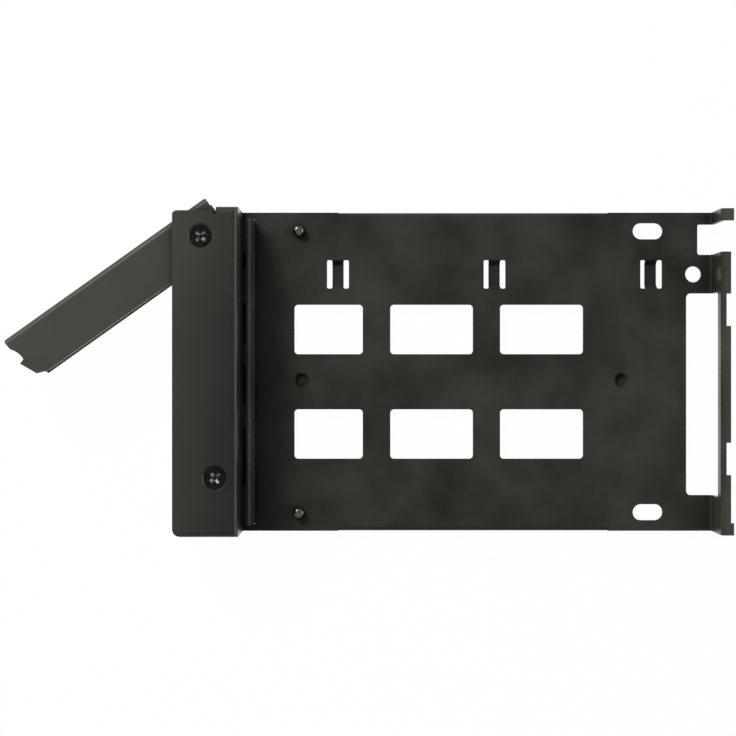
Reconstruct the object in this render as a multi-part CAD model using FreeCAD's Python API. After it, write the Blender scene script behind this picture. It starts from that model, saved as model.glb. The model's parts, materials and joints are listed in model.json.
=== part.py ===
import FreeCAD, Part
import math
import os

from FreeCAD import Vector

# Hot swap caddy for one 2.5-inch drive, in millimetres.
# The origin lies on the tray's drive seat, at the centre of the drive's four bottom holes.
# +X points to the connector end, +Y to the side of the handle's pivot, +Z up from the seat.

# The drive that the tray is made for
DRIVE_LENGTH = 100.45
DRIVE_WIDTH = 69.85
REAR_HOLE_INSET = 14.0
FRONT_HOLE_INSET = 9.85
SIDE_HOLE_INSET = 4.065
DRIVE_END_GAP = 0.25

# Tray sheet
TRAY_SHEET = 0.8
TRAY_BEND = 0.6
UPSTAND_SIDE_INSET = 1.6
UPSTAND_TOP_BEND = 0.3
CORNER_SLIT = 0.1
REAR_WALL_HEIGHT = 10.6
REAR_FLANGE_DEPTH = 1.26
REAR_FLANGE_BEND = 0.2
RUNNER_DEPTH = 2.4
RUNNER_LENGTH = 59.3
RUNNER_BEND = 0.3
RUNNER_CORNER = 1.2

# Tray floor openings
WINDOW_LENGTHS = (15.0, 18.15, 18.25)
WINDOW_RIBS = (9.15, 6.05, 5.95)
WINDOW_WIDTH = 10.85
WINDOW_ROW_PITCH = 22.97
WINDOW_ROWS_Y = -2.2
WINDOW_CORNER = 0.8
SLOT_LENGTH = 6.55
SLOT_WIDTH = 3.55
ROUND_HOLE_RADIUS = 1.75
ROUND_HOLE_INSET = 4.0
FLOOR_EDGE_GAP = 0.5

# Lanced bridges that hang below the floor, along one line
BRIDGE_LINE_Y = 21.4
BRIDGE_FRONT_INSET = 18.7
BRIDGE_REAR_INSET = 13.2
BRIDGE_STRIP = 2.45
BRIDGE_SLOT = 1.17
BRIDGE_CORNER = 0.35
BRIDGE_LENGTH = 6.25
BRIDGE_DROP = 1.2
BRIDGE_RAMP = 1.0
BRIDGE_BEND = 0.25

# Dimples that stand the floor off the bay below it
DIMPLE_Y = -2.0
DIMPLE_FLAT = 0.9
DIMPLE_RAMP = 0.9
DIMPLE_DROP = 1.0
DIMPLE_FRONT_SHIFT = 0.6
DIMPLE_REAR_SHIFT = -5.7

# Rear wall, with the connector window and a finger at the pivot side
CONNECTOR_WIDTH = 44.3
CONNECTOR_Y = -4.95
CONNECTOR_HEIGHT = 6.8
CONNECTOR_FLOOR = 5.55
CONNECTOR_CORNER = 1.0
FINGER_WIDTH = 2.6
FINGER_GAP = 6.65
FINGER_FLOOR = 3.1
EAR_LENGTH = 0.64
FLANGE_NOTCH_WIDTH = 6.9
FLANGE_NOTCH_DEPTH = 0.96
FLANGE_NOTCHES_Y = (13.25, -18.6)

# Locating pins swaged into the tray
PIN_RADIUS = 1.2
PIN_HEIGHT = 2.2
PIN_DOME = 0.9
PIN_SHANK = 1.6
PIN_FOOT = 2.2

# Housing: a folded cover across the front, open forwards
HOUSING_SHEET = 1.0
HOUSING_DEPTH = 15.2
HOUSING_TOP = 15.0
HOUSING_BEND = 0.3
LEDGE_HEIGHT = 5.0
LEDGE_DEPTH = 1.4
END_BEND = 0.3
FRONT_RETURN = 3.4
FRONT_RETURN_BEND = 0.8
OPEN_CORNER = 1.0
OPEN_EDGE_INSET = 0.85
BEND_RELIEF = 0.6
VENT_WIDTH = 0.8
VENT_INSET = 0.35
VENT_DEPTH = 3.0
VENT_CORNER = 0.2
VENTS = ((23.95, 3.5), (10.4, 8.9), (-2.75, 8.5), (-18.2, 12.8))

# Handle: a folded channel lever
HANDLE_SHEET = 1.0
HANDLE_FRONT = 6.35
HANDLE_BACK = 4.3
HANDLE_TAIL = 5.4
HANDLE_OPEN_ANGLE = 54.6
HANDLE_SIDE_GAP = 0.1
HANDLE_BEND = 0.2
HANDLE_LOWER_BACK = 3.3
HANDLE_LUG_REACH = 7.0
WEB_TAIL = 4.2
TAIL_CORNER = 0.4
TAIL_BACK_CORNER = (1.4, 2.0)
GRILLE_SLOT = 2.0
GRILLE_HEIGHT = 8.4
GRILLE_PITCH = 3.4
GRILLE_START = 7.0
GRILLE_END_MARGIN = 5.0
STOP_GAP = 0.3

# Latch end of the handle, measured back from the end and in from the pivot line
LATCH_CLEARANCE = 4.1
LIP_SIDE = 0.3
LIP_BACKSET = 0.1
HOLD_FACE_SIDE = 0.65
NOTCH_DEPTH = 1.25
NOTCH_MIDDLE_SIDE = 2.35
NOTCH_MIDDLE_DEPTH = 1.05
NOTCH_MOUTH_SIDE = 3.95
NOTCH_MOUTH_BACKSET = 0.15
END_SLANT = (1.8, 3.4)
END_BACK_CORNER = 4.2

# Pivots
PIVOT_END_INSET = 6.325
PIVOT_FRONT_INSET = 6.0
LATCH_END_INSET = 12.525
LATCH_FRONT_INSET = 9.0
POST_RADIUS = 2.6
PIVOT_PLAY = 0.05
POST_SPIGOT = 1.8
POST_FLARE = 2.3
POST_FLARE_HEIGHT = 0.5
WASHER_THICKNESS = 0.3
PIVOT_WASHER = 4.6
LATCH_WASHER = 3.5
FIT_GAP = 0.02

# Countersunk screws
SCREW_RADIUS = 1.25
SCREW_LENGTH = 7.0
SCREW_HEAD = 2.3
SCREW_HEAD_ANGLE = 100.0
SCREW_HEAD_RIM = 0.1
SCREW_SINK = 0.3
THREAD_GAP = 0.05
SCREW_HOLE_DEPTH = 9.0
POST_MOUTH = 0.5
RECESS_WIDTH = 0.7
RECESS_REACH = 1.4
RECESS_CORE = 0.35
RECESS_DEPTH = 0.8
PIVOT_SCREW_TURN = 45.0
LATCH_SCREW_TURN = 38.0

# Release button: a rocker on the latch post
BUTTON_FRONT_GAP = 0.2
BUTTON_WALL = 2.0
BUTTON_SWEEP = 11.6
BUTTON_HUB = 3.55
BUTTON_RIB_Y = 2.4
BUTTON_TOP_GAP = 0.4
NOSE_GAP = 0.3
NOSE_RUN = 3.05
FINGER_HOLLOW = 0.5
FINGER_HOLLOW_RADIUS = 12.0
SPRING_BOSS = 1.2
SPRING_BOSS_LENGTH = 1.4

# Springs
WIRE_SIDES = 5
COIL_WIRE = 0.3
COIL_GAP = 0.6
COIL_TURNS = 2
COIL_PITCH = 0.75
COIL_LEG = 12.0
COIL_LEG_TOUCH = 0.05
BUTTON_SPRING_WIRE = 0.25
BUTTON_SPRING_GAP = 0.15
BUTTON_SPRING_TURNS = 4
BUTTON_SPRING_SEAT = 0.05
BUTTON_SPRING_Z = 7.0
BUTTON_SPRING_OFFSET = 6.8

# Rivets that join the housing to the tray's upstand
RIVET_RADIUS = 1.0
RIVET_HEAD = 1.6
RIVET_TAIL = 1.3
RIVET_TAIL_LENGTH = 0.6
RIVET_END_INSET = 5.1
RIVET_HEIGHT = 2.4

# Places that follow from the sizes above
HOLE_X = (DRIVE_LENGTH - REAR_HOLE_INSET - FRONT_HOLE_INSET) / 2
HOLE_Y = DRIVE_WIDTH / 2 - SIDE_HOLE_INSET
HALF_WIDTH = DRIVE_WIDTH / 2
LEDGE_HALF = HALF_WIDTH - UPSTAND_SIDE_INSET
REAR_FACE = HOLE_X + REAR_HOLE_INSET
UPSTAND_FACE = REAR_FACE - DRIVE_LENGTH - DRIVE_END_GAP
UNDERSIDE = -RUNNER_DEPTH
FLANGE_EDGE = REAR_FACE + TRAY_SHEET + REAR_FLANGE_DEPTH
HOUSING_BACK = UPSTAND_FACE - TRAY_SHEET
UPPER_BACK = HOUSING_BACK - LEDGE_DEPTH
UPSTAND_TOP = LEDGE_HEIGHT + TRAY_SHEET
HOUSING_FRONT = HOUSING_BACK - HOUSING_DEPTH
CAVITY_BACK = UPPER_BACK - HOUSING_SHEET
CAVITY_TOP = HOUSING_TOP - HOUSING_SHEET
CAVITY_FLOOR = UNDERSIDE + HOUSING_SHEET
CAVITY_SIDE = HALF_WIDTH - HOUSING_SHEET
LEVER_FLOOR = CAVITY_FLOOR + WASHER_THICKNESS + HANDLE_SIDE_GAP
LEVER_TOP = CAVITY_TOP - WASHER_THICKNESS - HANDLE_SIDE_GAP
LEVER_HEIGHT = LEVER_TOP - LEVER_FLOOR
PIVOT = Vector(HOUSING_FRONT + PIVOT_FRONT_INSET, HALF_WIDTH - PIVOT_END_INSET, 0)
LATCH = Vector(HOUSING_FRONT + LATCH_FRONT_INSET, LATCH_END_INSET - HALF_WIDTH, 0)
HANDLE_REACH = PIVOT.y - LATCH.y - LATCH_CLEARANCE
RIVET_Y = HALF_WIDTH - RIVET_END_INSET
X_AXIS = Vector(1, 0, 0)
Y_AXIS = Vector(0, 1, 0)
Z_AXIS = Vector(0, 0, 1)
FAR = 200.0


def block(low, high):
    """Box between two corners, each given as (x, y, z)."""
    size = [high[i] - low[i] for i in range(3)]
    return Part.makeBox(size[0], size[1], size[2], Vector(*low))


def rod(radius, length, start, axis=Z_AXIS):
    return Part.makeCylinder(radius, length, start, axis)


def unit(vector):
    return vector * (1 / vector.Length)


def corner_arc(before, corner, after, radius):
    """Three points of the arc that rounds a corner: its start, middle and end."""
    back = unit(before - corner)
    ahead = unit(after - corner)
    half = back.getAngle(ahead) / 2
    reach = radius / math.tan(half)
    to_centre = unit(back + ahead)
    middle = corner + to_centre * (radius / math.sin(half) - radius)
    return corner + back * reach, middle, corner + ahead * reach


def rounded_path(points, radii):
    """Edges along the points, with an arc of its own radius at each inner point."""
    edges = []
    start = points[0]
    for before, corner, after, radius in zip(points, points[1:], points[2:], radii):
        first, middle, last = corner_arc(before, corner, after, radius)
        edges.append(Part.makeLine(start, first))
        edges.append(Part.Arc(first, middle, last).toShape())
        start = last
    edges.append(Part.makeLine(start, points[-1]))
    return edges


def parallel(points, normal, distance):
    """The points moved sideways, towards normal x direction, with mitred corners."""
    sides = [unit(normal.cross(b - a)) for a, b in zip(points, points[1:])]
    moved = [points[0] + sides[0] * distance]
    for point, left, right in zip(points[1:], sides, sides[1:]):
        moved.append(point + (left + right) * (distance / (1 + left.dot(right))))
    moved.append(points[-1] + sides[-1] * distance)
    return moved


def sheet_section(points, normal, thickness, bends):
    """Section of a folded sheet whose one face follows the points.

    The thickness lies on the side of normal x direction, and bends are the folds' inner radii.
    """
    near = []
    far = []
    for before, corner, after, bend in zip(points, points[1:], points[2:], bends):
        turn = (corner - before).cross(after - corner).dot(normal)
        near.append(bend + thickness if turn > 0 else bend)
        far.append(bend if turn > 0 else bend + thickness)
    other = parallel(points, normal, thickness)
    edges = rounded_path(points, near) + rounded_path(other, far)
    edges.append(Part.makeLine(points[0], other[0]))
    edges.append(Part.makeLine(points[-1], other[-1]))
    return Part.Face(Part.Wire(Part.sortEdges(edges)[0]))


def revolved(points, base=Vector(0, 0, 0), axis=Z_AXIS):
    """Solid turned from an outline of (radius, height) points about an axis through base."""
    outline = Part.makePolygon([Vector(r, 0, z) for r, z in points + [points[0]]])
    solid = Part.Face(outline).revolve(Vector(0, 0, 0), Z_AXIS, 360)
    solid.Placement = FreeCAD.Placement(base, FreeCAD.Rotation(Z_AXIS, axis))
    return solid


def prism(edges, low, high):
    """Solid over a flat closed outline, from height low to height high."""
    face = Part.Face(Part.Wire(Part.sortEdges(edges)[0]))
    face.translate(Vector(0, 0, low))
    return face.extrude(Vector(0, 0, high - low))


def edges_near(shape, axis, *places):
    """Straight edges along an axis whose other two coordinates match one of the places."""
    index = {"x": (1, 2), "y": (0, 2), "z": (0, 1)}[axis]
    along = {"x": 0, "y": 1, "z": 2}[axis]
    found = []
    for edge in shape.Edges:
        ends = [edge.Vertexes[0].Point, edge.Vertexes[-1].Point]
        if abs(ends[0][along] - ends[1][along]) < 0.1:
            continue
        for place in places:
            if all(abs(end[i] - value) < 0.001 for end in ends for i, value in zip(index, place)):
                found.append(edge)
    return found


def rounded_window(x_range, y_range, z_range, radius):
    """Cutter with rounded vertical corners."""
    solid = block((x_range[0], y_range[0], z_range[0]), (x_range[1], y_range[1], z_range[1]))
    corners = [(x, y) for x in x_range for y in y_range]
    return solid.makeFillet(radius, edges_near(solid, "z", *corners))


def obround(length, width, depth, centre, along, through):
    """Slot cutter: length runs along one axis, and its depth is centred on the other."""
    half = (length - width) / 2
    start = centre - through * (depth / 2)
    across = along.cross(through)
    ends = [rod(width / 2, depth, start + along * offset, through) for offset in (-half, half)]
    corner = start - along * half - across * (width / 2)
    points = [corner, corner + along * 2 * half]
    points += [point + across * width for point in reversed(points)]
    middle = Part.Face(Part.makePolygon(points + [points[0]])).extrude(through * depth)
    return ends[0].multiFuse([ends[1], middle])


# ---------------------------------------------------------------- tray

def tray_strip():
    """Hooked upstand, floor, rear wall and turned-out flange, folded across the full width."""
    path = [
        Vector(UPPER_BACK + FIT_GAP, 0, UPSTAND_TOP),
        Vector(UPSTAND_FACE, 0, UPSTAND_TOP),
        Vector(UPSTAND_FACE, 0, 0),
        Vector(REAR_FACE, 0, 0),
        Vector(REAR_FACE, 0, REAR_WALL_HEIGHT),
        Vector(FLANGE_EDGE + EAR_LENGTH, 0, REAR_WALL_HEIGHT),
    ]
    bends = (UPSTAND_TOP_BEND, TRAY_BEND, TRAY_BEND, REAR_FLANGE_BEND)
    section = sheet_section(path, Y_AXIS, TRAY_SHEET, bends)
    section.translate(Vector(0, -HALF_WIDTH, 0))
    return section.extrude(Vector(0, 2 * HALF_WIDTH, 0))


def runner(side):
    """Edge of the floor folded down along the middle of one side."""
    outer = side * HALF_WIDTH
    inner = side * (HALF_WIDTH - 3 * (RUNNER_BEND + TRAY_SHEET))
    path = [Vector(0, inner, 0), Vector(0, outer, 0), Vector(0, outer, UNDERSIDE)]
    section = sheet_section(path, Vector(-side, 0, 0), TRAY_SHEET, (RUNNER_BEND,))
    half = RUNNER_LENGTH / 2
    section.translate(Vector(-half, 0, 0))
    solid = section.extrude(Vector(RUNNER_LENGTH, 0, 0))
    corners = edges_near(solid, "y", (-half, UNDERSIDE), (half, UNDERSIDE))
    return solid.makeFillet(RUNNER_CORNER, corners)


def runner_clearance(side):
    """The floor's square edge, taken away where the runner's bend replaces it."""
    bend = RUNNER_BEND + TRAY_SHEET
    faces = sorted((side * (HALF_WIDTH - bend), side * (HALF_WIDTH + bend)))
    half = RUNNER_LENGTH / 2
    return block((-half, faces[0], -FAR), (half, faces[1], FAR))


def floor_windows():
    """Two rows of windows, set out backwards from the upstand."""
    cutters = []
    front = UPSTAND_FACE
    for rib, length in zip(WINDOW_RIBS, WINDOW_LENGTHS):
        front += rib
        for row in (-0.5, 0.5):
            middle = WINDOW_ROWS_Y + row * WINDOW_ROW_PITCH
            y_range = (middle - WINDOW_WIDTH / 2, middle + WINDOW_WIDTH / 2)
            z_range = (-2 * TRAY_SHEET, TRAY_SHEET)
            cutters.append(rounded_window((front, front + length), y_range, z_range, WINDOW_CORNER))
        front += length
    return cutters


def bridge_places():
    """Centres of the bridges: one near each end of the floor and one midway."""
    first = UPSTAND_FACE + BRIDGE_FRONT_INSET
    last = REAR_FACE - BRIDGE_REAR_INSET
    return [Vector(x, BRIDGE_LINE_Y, 0) for x in (first, (first + last) / 2, last)]


def bridge_cutters(place):
    """Two slots and the strip between them, before the strip is pressed down."""
    offset = (BRIDGE_STRIP + BRIDGE_SLOT) / 2
    half = BRIDGE_LENGTH / 2
    z_range = (-2 * TRAY_SHEET, TRAY_SHEET)
    cutters = []
    for side in (-1, 1):
        middle = place.x + side * offset
        x_range = (middle - BRIDGE_SLOT / 2, middle + BRIDGE_SLOT / 2)
        y_range = (place.y - half, place.y + half)
        cutters.append(rounded_window(x_range, y_range, z_range, BRIDGE_CORNER))
    strip = BRIDGE_STRIP / 2
    low = (place.x - strip, place.y - half, z_range[0])
    cutters.append(block(low, (place.x + strip, place.y + half, z_range[1])))
    return cutters


def bridge_strip(place):
    """The strip between the slots, pressed down in one piece with the floor."""
    half = BRIDGE_LENGTH / 2
    root = half + 2 * TRAY_SHEET
    path = [
        Vector(0, -root, 0),
        Vector(0, -half, 0),
        Vector(0, -half + BRIDGE_RAMP, -BRIDGE_DROP),
        Vector(0, half - BRIDGE_RAMP, -BRIDGE_DROP),
        Vector(0, half, 0),
        Vector(0, root, 0),
    ]
    section = sheet_section(path, Vector(-1, 0, 0), TRAY_SHEET, (BRIDGE_BEND,) * 4)
    section.translate(place - Vector(BRIDGE_STRIP / 2, 0, 0))
    return section.extrude(Vector(BRIDGE_STRIP, 0, 0))


def dimple_places():
    return [
        Vector(-HOLE_X + DIMPLE_FRONT_SHIFT, DIMPLE_Y, 0),
        Vector(HOLE_X + DIMPLE_REAR_SHIFT, DIMPLE_Y, 0),
    ]


def dimple(place):
    """Round dish pressed down out of the floor."""
    edge = DIMPLE_FLAT + DIMPLE_RAMP
    points = [
        (0, -DIMPLE_DROP),
        (DIMPLE_FLAT, -DIMPLE_DROP),
        (edge, 0),
        (edge + TRAY_SHEET, 0),
        (edge + TRAY_SHEET, -TRAY_SHEET),
        (edge, -TRAY_SHEET),
        (DIMPLE_FLAT, -DIMPLE_DROP - TRAY_SHEET),
        (0, -DIMPLE_DROP - TRAY_SHEET),
    ]
    return revolved(points, place)


def dimple_cutter(place):
    radius = DIMPLE_FLAT + DIMPLE_RAMP
    return rod(radius, 2 * TRAY_SHEET, place - Vector(0, 0, 1.5 * TRAY_SHEET))


def pin_places():
    return [Vector(-HOLE_X, side * HOLE_Y, 0) for side in (-1, 1)]


def pin_hole(place):
    """Hole for a pin's shank, countersunk from below for its swaged foot."""
    points = [
        (0, TRAY_SHEET),
        (PIN_SHANK + FIT_GAP, TRAY_SHEET),
        (PIN_SHANK + FIT_GAP, -TRAY_SHEET / 2),
        (PIN_FOOT + FIT_GAP, -TRAY_SHEET),
        (PIN_FOOT + FIT_GAP, -2 * TRAY_SHEET),
        (0, -2 * TRAY_SHEET),
    ]
    return revolved(points, place)


def floor_holes():
    """Rear drive slots, the round hole on the bridges' line and the seats of the pins."""
    depth = 4 * TRAY_SHEET
    cutters = []
    for side in (-1, 1):
        centre = Vector(HOLE_X, side * HOLE_Y, 0)
        cutters.append(obround(SLOT_LENGTH, SLOT_WIDTH, depth, centre, X_AXIS, Z_AXIS))
    start = Vector(REAR_FACE - ROUND_HOLE_INSET, BRIDGE_LINE_Y, -depth / 2)
    cutters.append(rod(ROUND_HOLE_RADIUS, depth, start))
    cutters += [pin_hole(place) for place in pin_places()]
    return cutters


def connector_window():
    """Opening for the drive's connector, through the floor's end and up the rear wall."""
    y_range = (CONNECTOR_Y - CONNECTOR_WIDTH / 2, CONNECTOR_Y + CONNECTOR_WIDTH / 2)
    x_range = (REAR_FACE - CONNECTOR_FLOOR, REAR_FACE)
    floor = rounded_window(x_range, y_range, (-2 * TRAY_SHEET, CONNECTOR_CORNER), CONNECTOR_CORNER)
    low = (REAR_FACE - CONNECTOR_FLOOR / 2, y_range[0], -2 * TRAY_SHEET)
    wall = block(low, (REAR_FACE + 2 * TRAY_SHEET, y_range[1], CONNECTOR_HEIGHT))
    tops = [(y, CONNECTOR_HEIGHT) for y in y_range]
    wall = wall.makeFillet(CONNECTOR_CORNER, edges_near(wall, "x", *tops))
    return [floor, wall]


def finger_cutter():
    """Gap that frees the finger at the pivot side from the rear wall."""
    high = HALF_WIDTH - FINGER_WIDTH
    y_range = (high - FINGER_GAP, high)
    x_range = (REAR_FACE - FINGER_FLOOR, FAR)
    return rounded_window(x_range, y_range, (-FAR, FAR), CONNECTOR_CORNER / 2)


def flange_cutters():
    """Trims the flange back between the ears, and notches it."""
    beside = HALF_WIDTH - FINGER_WIDTH
    edge = block((FLANGE_EDGE, -beside, LEDGE_HEIGHT), (FAR, beside, FAR))
    cutters = [edge]
    for middle in FLANGE_NOTCHES_Y:
        half = FLANGE_NOTCH_WIDTH / 2
        low = (FLANGE_EDGE - FLANGE_NOTCH_DEPTH, middle - half, LEDGE_HEIGHT)
        cutters.append(block(low, (FAR, middle + half, FAR)))
    return cutters


def upstand_trims():
    """Takes the upstand's ends in from the tray's edges."""
    back = UPSTAND_FACE + TRAY_BEND
    trims = []
    for side in (-1, 1):
        faces = sorted((side * LEDGE_HALF, side * (HALF_WIDTH + 1)))
        trims.append(block((-FAR, faces[0], -FAR), (back, faces[1], FAR)))
    return trims


def floor_corner(side):
    """Flat corner of the floor that runs forward beside the upstand's end to the housing."""
    back = UPSTAND_FACE + 2 * TRAY_BEND
    faces = sorted((side * (LEDGE_HALF + CORNER_SLIT), side * HALF_WIDTH))
    return block((UPPER_BACK + FIT_GAP, faces[0], -TRAY_SHEET), (back, faces[1], 0))


def rivet_places():
    return [Vector(UPSTAND_FACE, side * RIVET_Y, RIVET_HEIGHT) for side in (-1, 1)]


def rivet_points(gap):
    """Rivet outline along its axis, from its flush head to its formed tail."""
    seat = TRAY_SHEET + HOUSING_SHEET
    return [
        (0, 0),
        (RIVET_HEAD + gap, 0),
        (RIVET_RADIUS + gap, -TRAY_SHEET),
        (RIVET_RADIUS + gap, -seat),
    ]


def rivet(place):
    seat = TRAY_SHEET + HOUSING_SHEET
    tail = [
        (RIVET_TAIL, -seat),
        (RIVET_TAIL * 0.8, -seat - RIVET_TAIL_LENGTH),
        (0, -seat - RIVET_TAIL_LENGTH),
    ]
    return revolved(rivet_points(0) + tail, place, X_AXIS)


def rivet_hole(place):
    seat = TRAY_SHEET + HOUSING_SHEET
    return revolved(rivet_points(FIT_GAP) + [(0, -seat)], place, X_AXIS)


def make_tray():
    tray = tray_strip()
    tray = tray.cut([runner_clearance(side) for side in (-1, 1)])
    tray = tray.multiFuse([runner(side) for side in (-1, 1)])
    cutters = floor_windows() + floor_holes() + connector_window()
    cutters += [finger_cutter()] + flange_cutters() + upstand_trims()
    for place in bridge_places():
        cutters += bridge_cutters(place)
    cutters += [dimple_cutter(place) for place in dimple_places()]
    cutters += [rivet_hole(place) for place in rivet_places()]
    cutters += vent_cutters()
    tray = tray.cut(cutters)
    formed = [bridge_strip(place) for place in bridge_places()]
    formed += [dimple(place) for place in dimple_places()]
    formed += [floor_corner(side) for side in (-1, 1)]
    return tray.multiFuse(formed).removeSplitter()


def make_pin(place):
    """Locating pin: a domed stud on a shank that is swaged into the floor."""
    points = [
        (0, PIN_HEIGHT),
        (PIN_RADIUS, PIN_HEIGHT),
        (PIN_RADIUS, 0),
        (PIN_SHANK, 0),
        (PIN_SHANK, -TRAY_SHEET / 2),
        (PIN_FOOT, -TRAY_SHEET),
        (0, -TRAY_SHEET),
    ]
    pin = revolved(points, place)
    rim = [edge for edge in pin.Edges if edge.BoundBox.ZMin > place.z + PIN_HEIGHT - PIN_DOME]
    return pin.makeFillet(PIN_DOME, [edge for edge in rim if len(edge.Vertexes) == 1])


# ---------------------------------------------------------------- housing

def cover_block(low, high, back_bend, end_bend, return_bend):
    """Box rounded as the folded cover is: along its back, its two ends and the front return."""
    box = block(low, high)
    heights = (low[2], high[2])
    backs = [(high[0], z) for z in heights]
    ends = [(y, z) for y in (low[1], high[1]) for z in heights]
    along = box.makeFillet(back_bend, edges_near(box, "y", *backs))
    across = box.makeFillet(end_bend, edges_near(box, "x", *ends))
    upright = box.makeFillet(return_bend, edges_near(box, "z", low[:2]))
    return along.common(across).common(upright)


def ledge_block(inset, bend):
    """Form of the lower back wall and the ledge over it, its faces moved inwards by the inset."""
    front = (HOUSING_FRONT + UPPER_BACK) / 2
    side = LEDGE_HALF - inset
    high = (HOUSING_BACK - inset, side, LEDGE_HEIGHT - inset)
    box = block((front, -side, UNDERSIDE + inset), high)
    folds = edges_near(box, "y", (high[0], UNDERSIDE + inset), (high[0], high[2]))
    return box.makeFillet(bend, folds)


def housing_shell():
    """Outer form less its cavity, which opens forwards beside the front return."""
    outer_bend = HOUSING_BEND + HOUSING_SHEET
    low = (HOUSING_FRONT, -HALF_WIDTH, UNDERSIDE)
    outer = cover_block(low, (UPPER_BACK, HALF_WIDTH, HOUSING_TOP), outer_bend,
                        END_BEND + HOUSING_SHEET, FRONT_RETURN_BEND + HOUSING_SHEET)
    low = (HOUSING_FRONT + HOUSING_SHEET, -CAVITY_SIDE, CAVITY_FLOOR)
    inner = cover_block(low, (CAVITY_BACK, CAVITY_SIDE, CAVITY_TOP),
                        HOUSING_BEND, END_BEND, FRONT_RETURN_BEND)
    mouth = block((HOUSING_FRONT - 1, FRONT_RETURN - HALF_WIDTH, CAVITY_FLOOR),
                  (CAVITY_BACK - 2 * HOUSING_BEND, CAVITY_SIDE - END_BEND, CAVITY_TOP))
    stepped = outer.fuse(ledge_block(0, outer_bend))
    return stepped.cut([inner, mouth, ledge_block(HOUSING_SHEET, HOUSING_BEND)])


def stop_edge():
    """Where the end tab's front edge stands, so that the open handle's tail rests on it."""
    angle = math.radians(HANDLE_OPEN_ANGLE)
    tail = Vector(HANDLE_TAIL * math.sin(angle), HANDLE_TAIL * math.cos(angle), 0)
    across = Vector(-math.cos(angle), math.sin(angle), 0)
    run = (CAVITY_SIDE - PIVOT.y - tail.y) / across.y
    return PIVOT.x + tail.x + across.x * run + STOP_GAP / math.sin(math.pi / 2 - angle / 2)


def open_edges():
    """Flat ends of the top and bottom sheets in front of the tab, where nothing is folded."""
    low_y = HALF_WIDTH - 2 * (END_BEND + HOUSING_SHEET)
    high_y = HALF_WIDTH - OPEN_EDGE_INSET
    back = stop_edge() - BEND_RELIEF
    sheets = []
    for low, high in ((UNDERSIDE, CAVITY_FLOOR), (CAVITY_TOP, HOUSING_TOP)):
        sheet = block((HOUSING_FRONT, low_y, low), (back, high_y, high))
        corner = edges_near(sheet, "z", (HOUSING_FRONT, high_y))
        sheets.append(sheet.makeFillet(OPEN_CORNER, corner))
    return sheets


def end_openings():
    """Frees the pivot end in front of its tab, with a relief in both sheets beside the fold."""
    edge = stop_edge()
    inside = CAVITY_SIDE - 2 * END_BEND
    mouth = block((-FAR, inside, CAVITY_FLOOR), (edge, FAR, CAVITY_TOP))
    relief = block((edge - BEND_RELIEF, inside, -FAR), (edge, FAR, FAR))
    front = block((-FAR, HALF_WIDTH - END_BEND - HOUSING_SHEET, -FAR), (edge, FAR, FAR))
    return [mouth, relief, front]


def vent_cutters():
    """Narrow air slots down through the ledge and the tray's hook over it."""
    cutters = []
    front = UPPER_BACK + VENT_INSET
    z_range = (LEDGE_HEIGHT - VENT_DEPTH, UPSTAND_TOP + 1)
    for middle, length in VENTS:
        y_range = (middle - length / 2, middle + length / 2)
        cutters.append(rounded_window((front, front + VENT_WIDTH), y_range, z_range, VENT_CORNER))
    return cutters


def post_seat(place):
    """Hole for a post's spigot in the lower sheet, flared from below."""
    points = [
        (0, 1),
        (POST_SPIGOT + FIT_GAP, 1),
        (POST_SPIGOT + FIT_GAP, POST_FLARE_HEIGHT - HOUSING_SHEET),
        (POST_FLARE + FIT_GAP, -HOUSING_SHEET),
        (POST_FLARE + FIT_GAP, -HOUSING_SHEET - 1),
        (0, -HOUSING_SHEET - 1),
    ]
    return revolved(points, place + Vector(0, 0, CAVITY_FLOOR))


def head_slope():
    return math.tan(math.radians(SCREW_HEAD_ANGLE / 2))


def countersink(place):
    """Clearance hole in the upper sheet that takes a screw's head below the surface."""
    hole = SCREW_RADIUS + 3 * THREAD_GAP
    mouth = SCREW_HEAD + (SCREW_SINK + SCREW_HEAD_RIM) * head_slope() + FIT_GAP
    bottom = -(mouth - hole) / head_slope()
    points = [(0, 1), (mouth, 1), (mouth, 0), (hole, bottom), (hole, -2 * HOUSING_SHEET)]
    return revolved(points + [(0, -2 * HOUSING_SHEET)], place + Vector(0, 0, HOUSING_TOP))


def make_housing():
    housing = housing_shell().cut(end_openings()).multiFuse(open_edges())
    cutters = vent_cutters()
    for place in (PIVOT, LATCH):
        cutters += [post_seat(place), countersink(place)]
    cutters += [rivet_hole(place) for place in rivet_places()]
    return housing.cut(cutters).removeSplitter()


# ---------------------------------------------------------------- pivots

def make_post(place):
    """Threaded post between the sheets, its spigot flared flush under the lower one."""
    hole = SCREW_RADIUS + THREAD_GAP
    height = CAVITY_TOP - CAVITY_FLOOR
    points = [
        (POST_SPIGOT, 0),
        (POST_RADIUS, 0),
        (POST_RADIUS, height),
        (hole + POST_MOUTH, height),
        (hole, height - POST_MOUTH),
        (hole, height - SCREW_HOLE_DEPTH),
        (0, height - SCREW_HOLE_DEPTH - hole / 2),
        (0, -HOUSING_SHEET),
        (POST_FLARE, -HOUSING_SHEET),
        (POST_SPIGOT, POST_FLARE_HEIGHT - HOUSING_SHEET),
    ]
    return revolved(points, place + Vector(0, 0, CAVITY_FLOOR))


def cross_recess():
    """Tapered cross that a driver fits, hanging down from the head's face."""
    reach = RECESS_REACH
    arms = [
        block((-reach, -RECESS_WIDTH / 2, -RECESS_DEPTH), (reach, RECESS_WIDTH / 2, 0)),
        block((-RECESS_WIDTH / 2, -reach, -RECESS_DEPTH), (RECESS_WIDTH / 2, reach, 0)),
    ]
    cone = Part.makeCone(RECESS_CORE, reach, RECESS_DEPTH, Vector(0, 0, -RECESS_DEPTH))
    return arms[0].fuse(arms[1]).common(cone)


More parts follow.
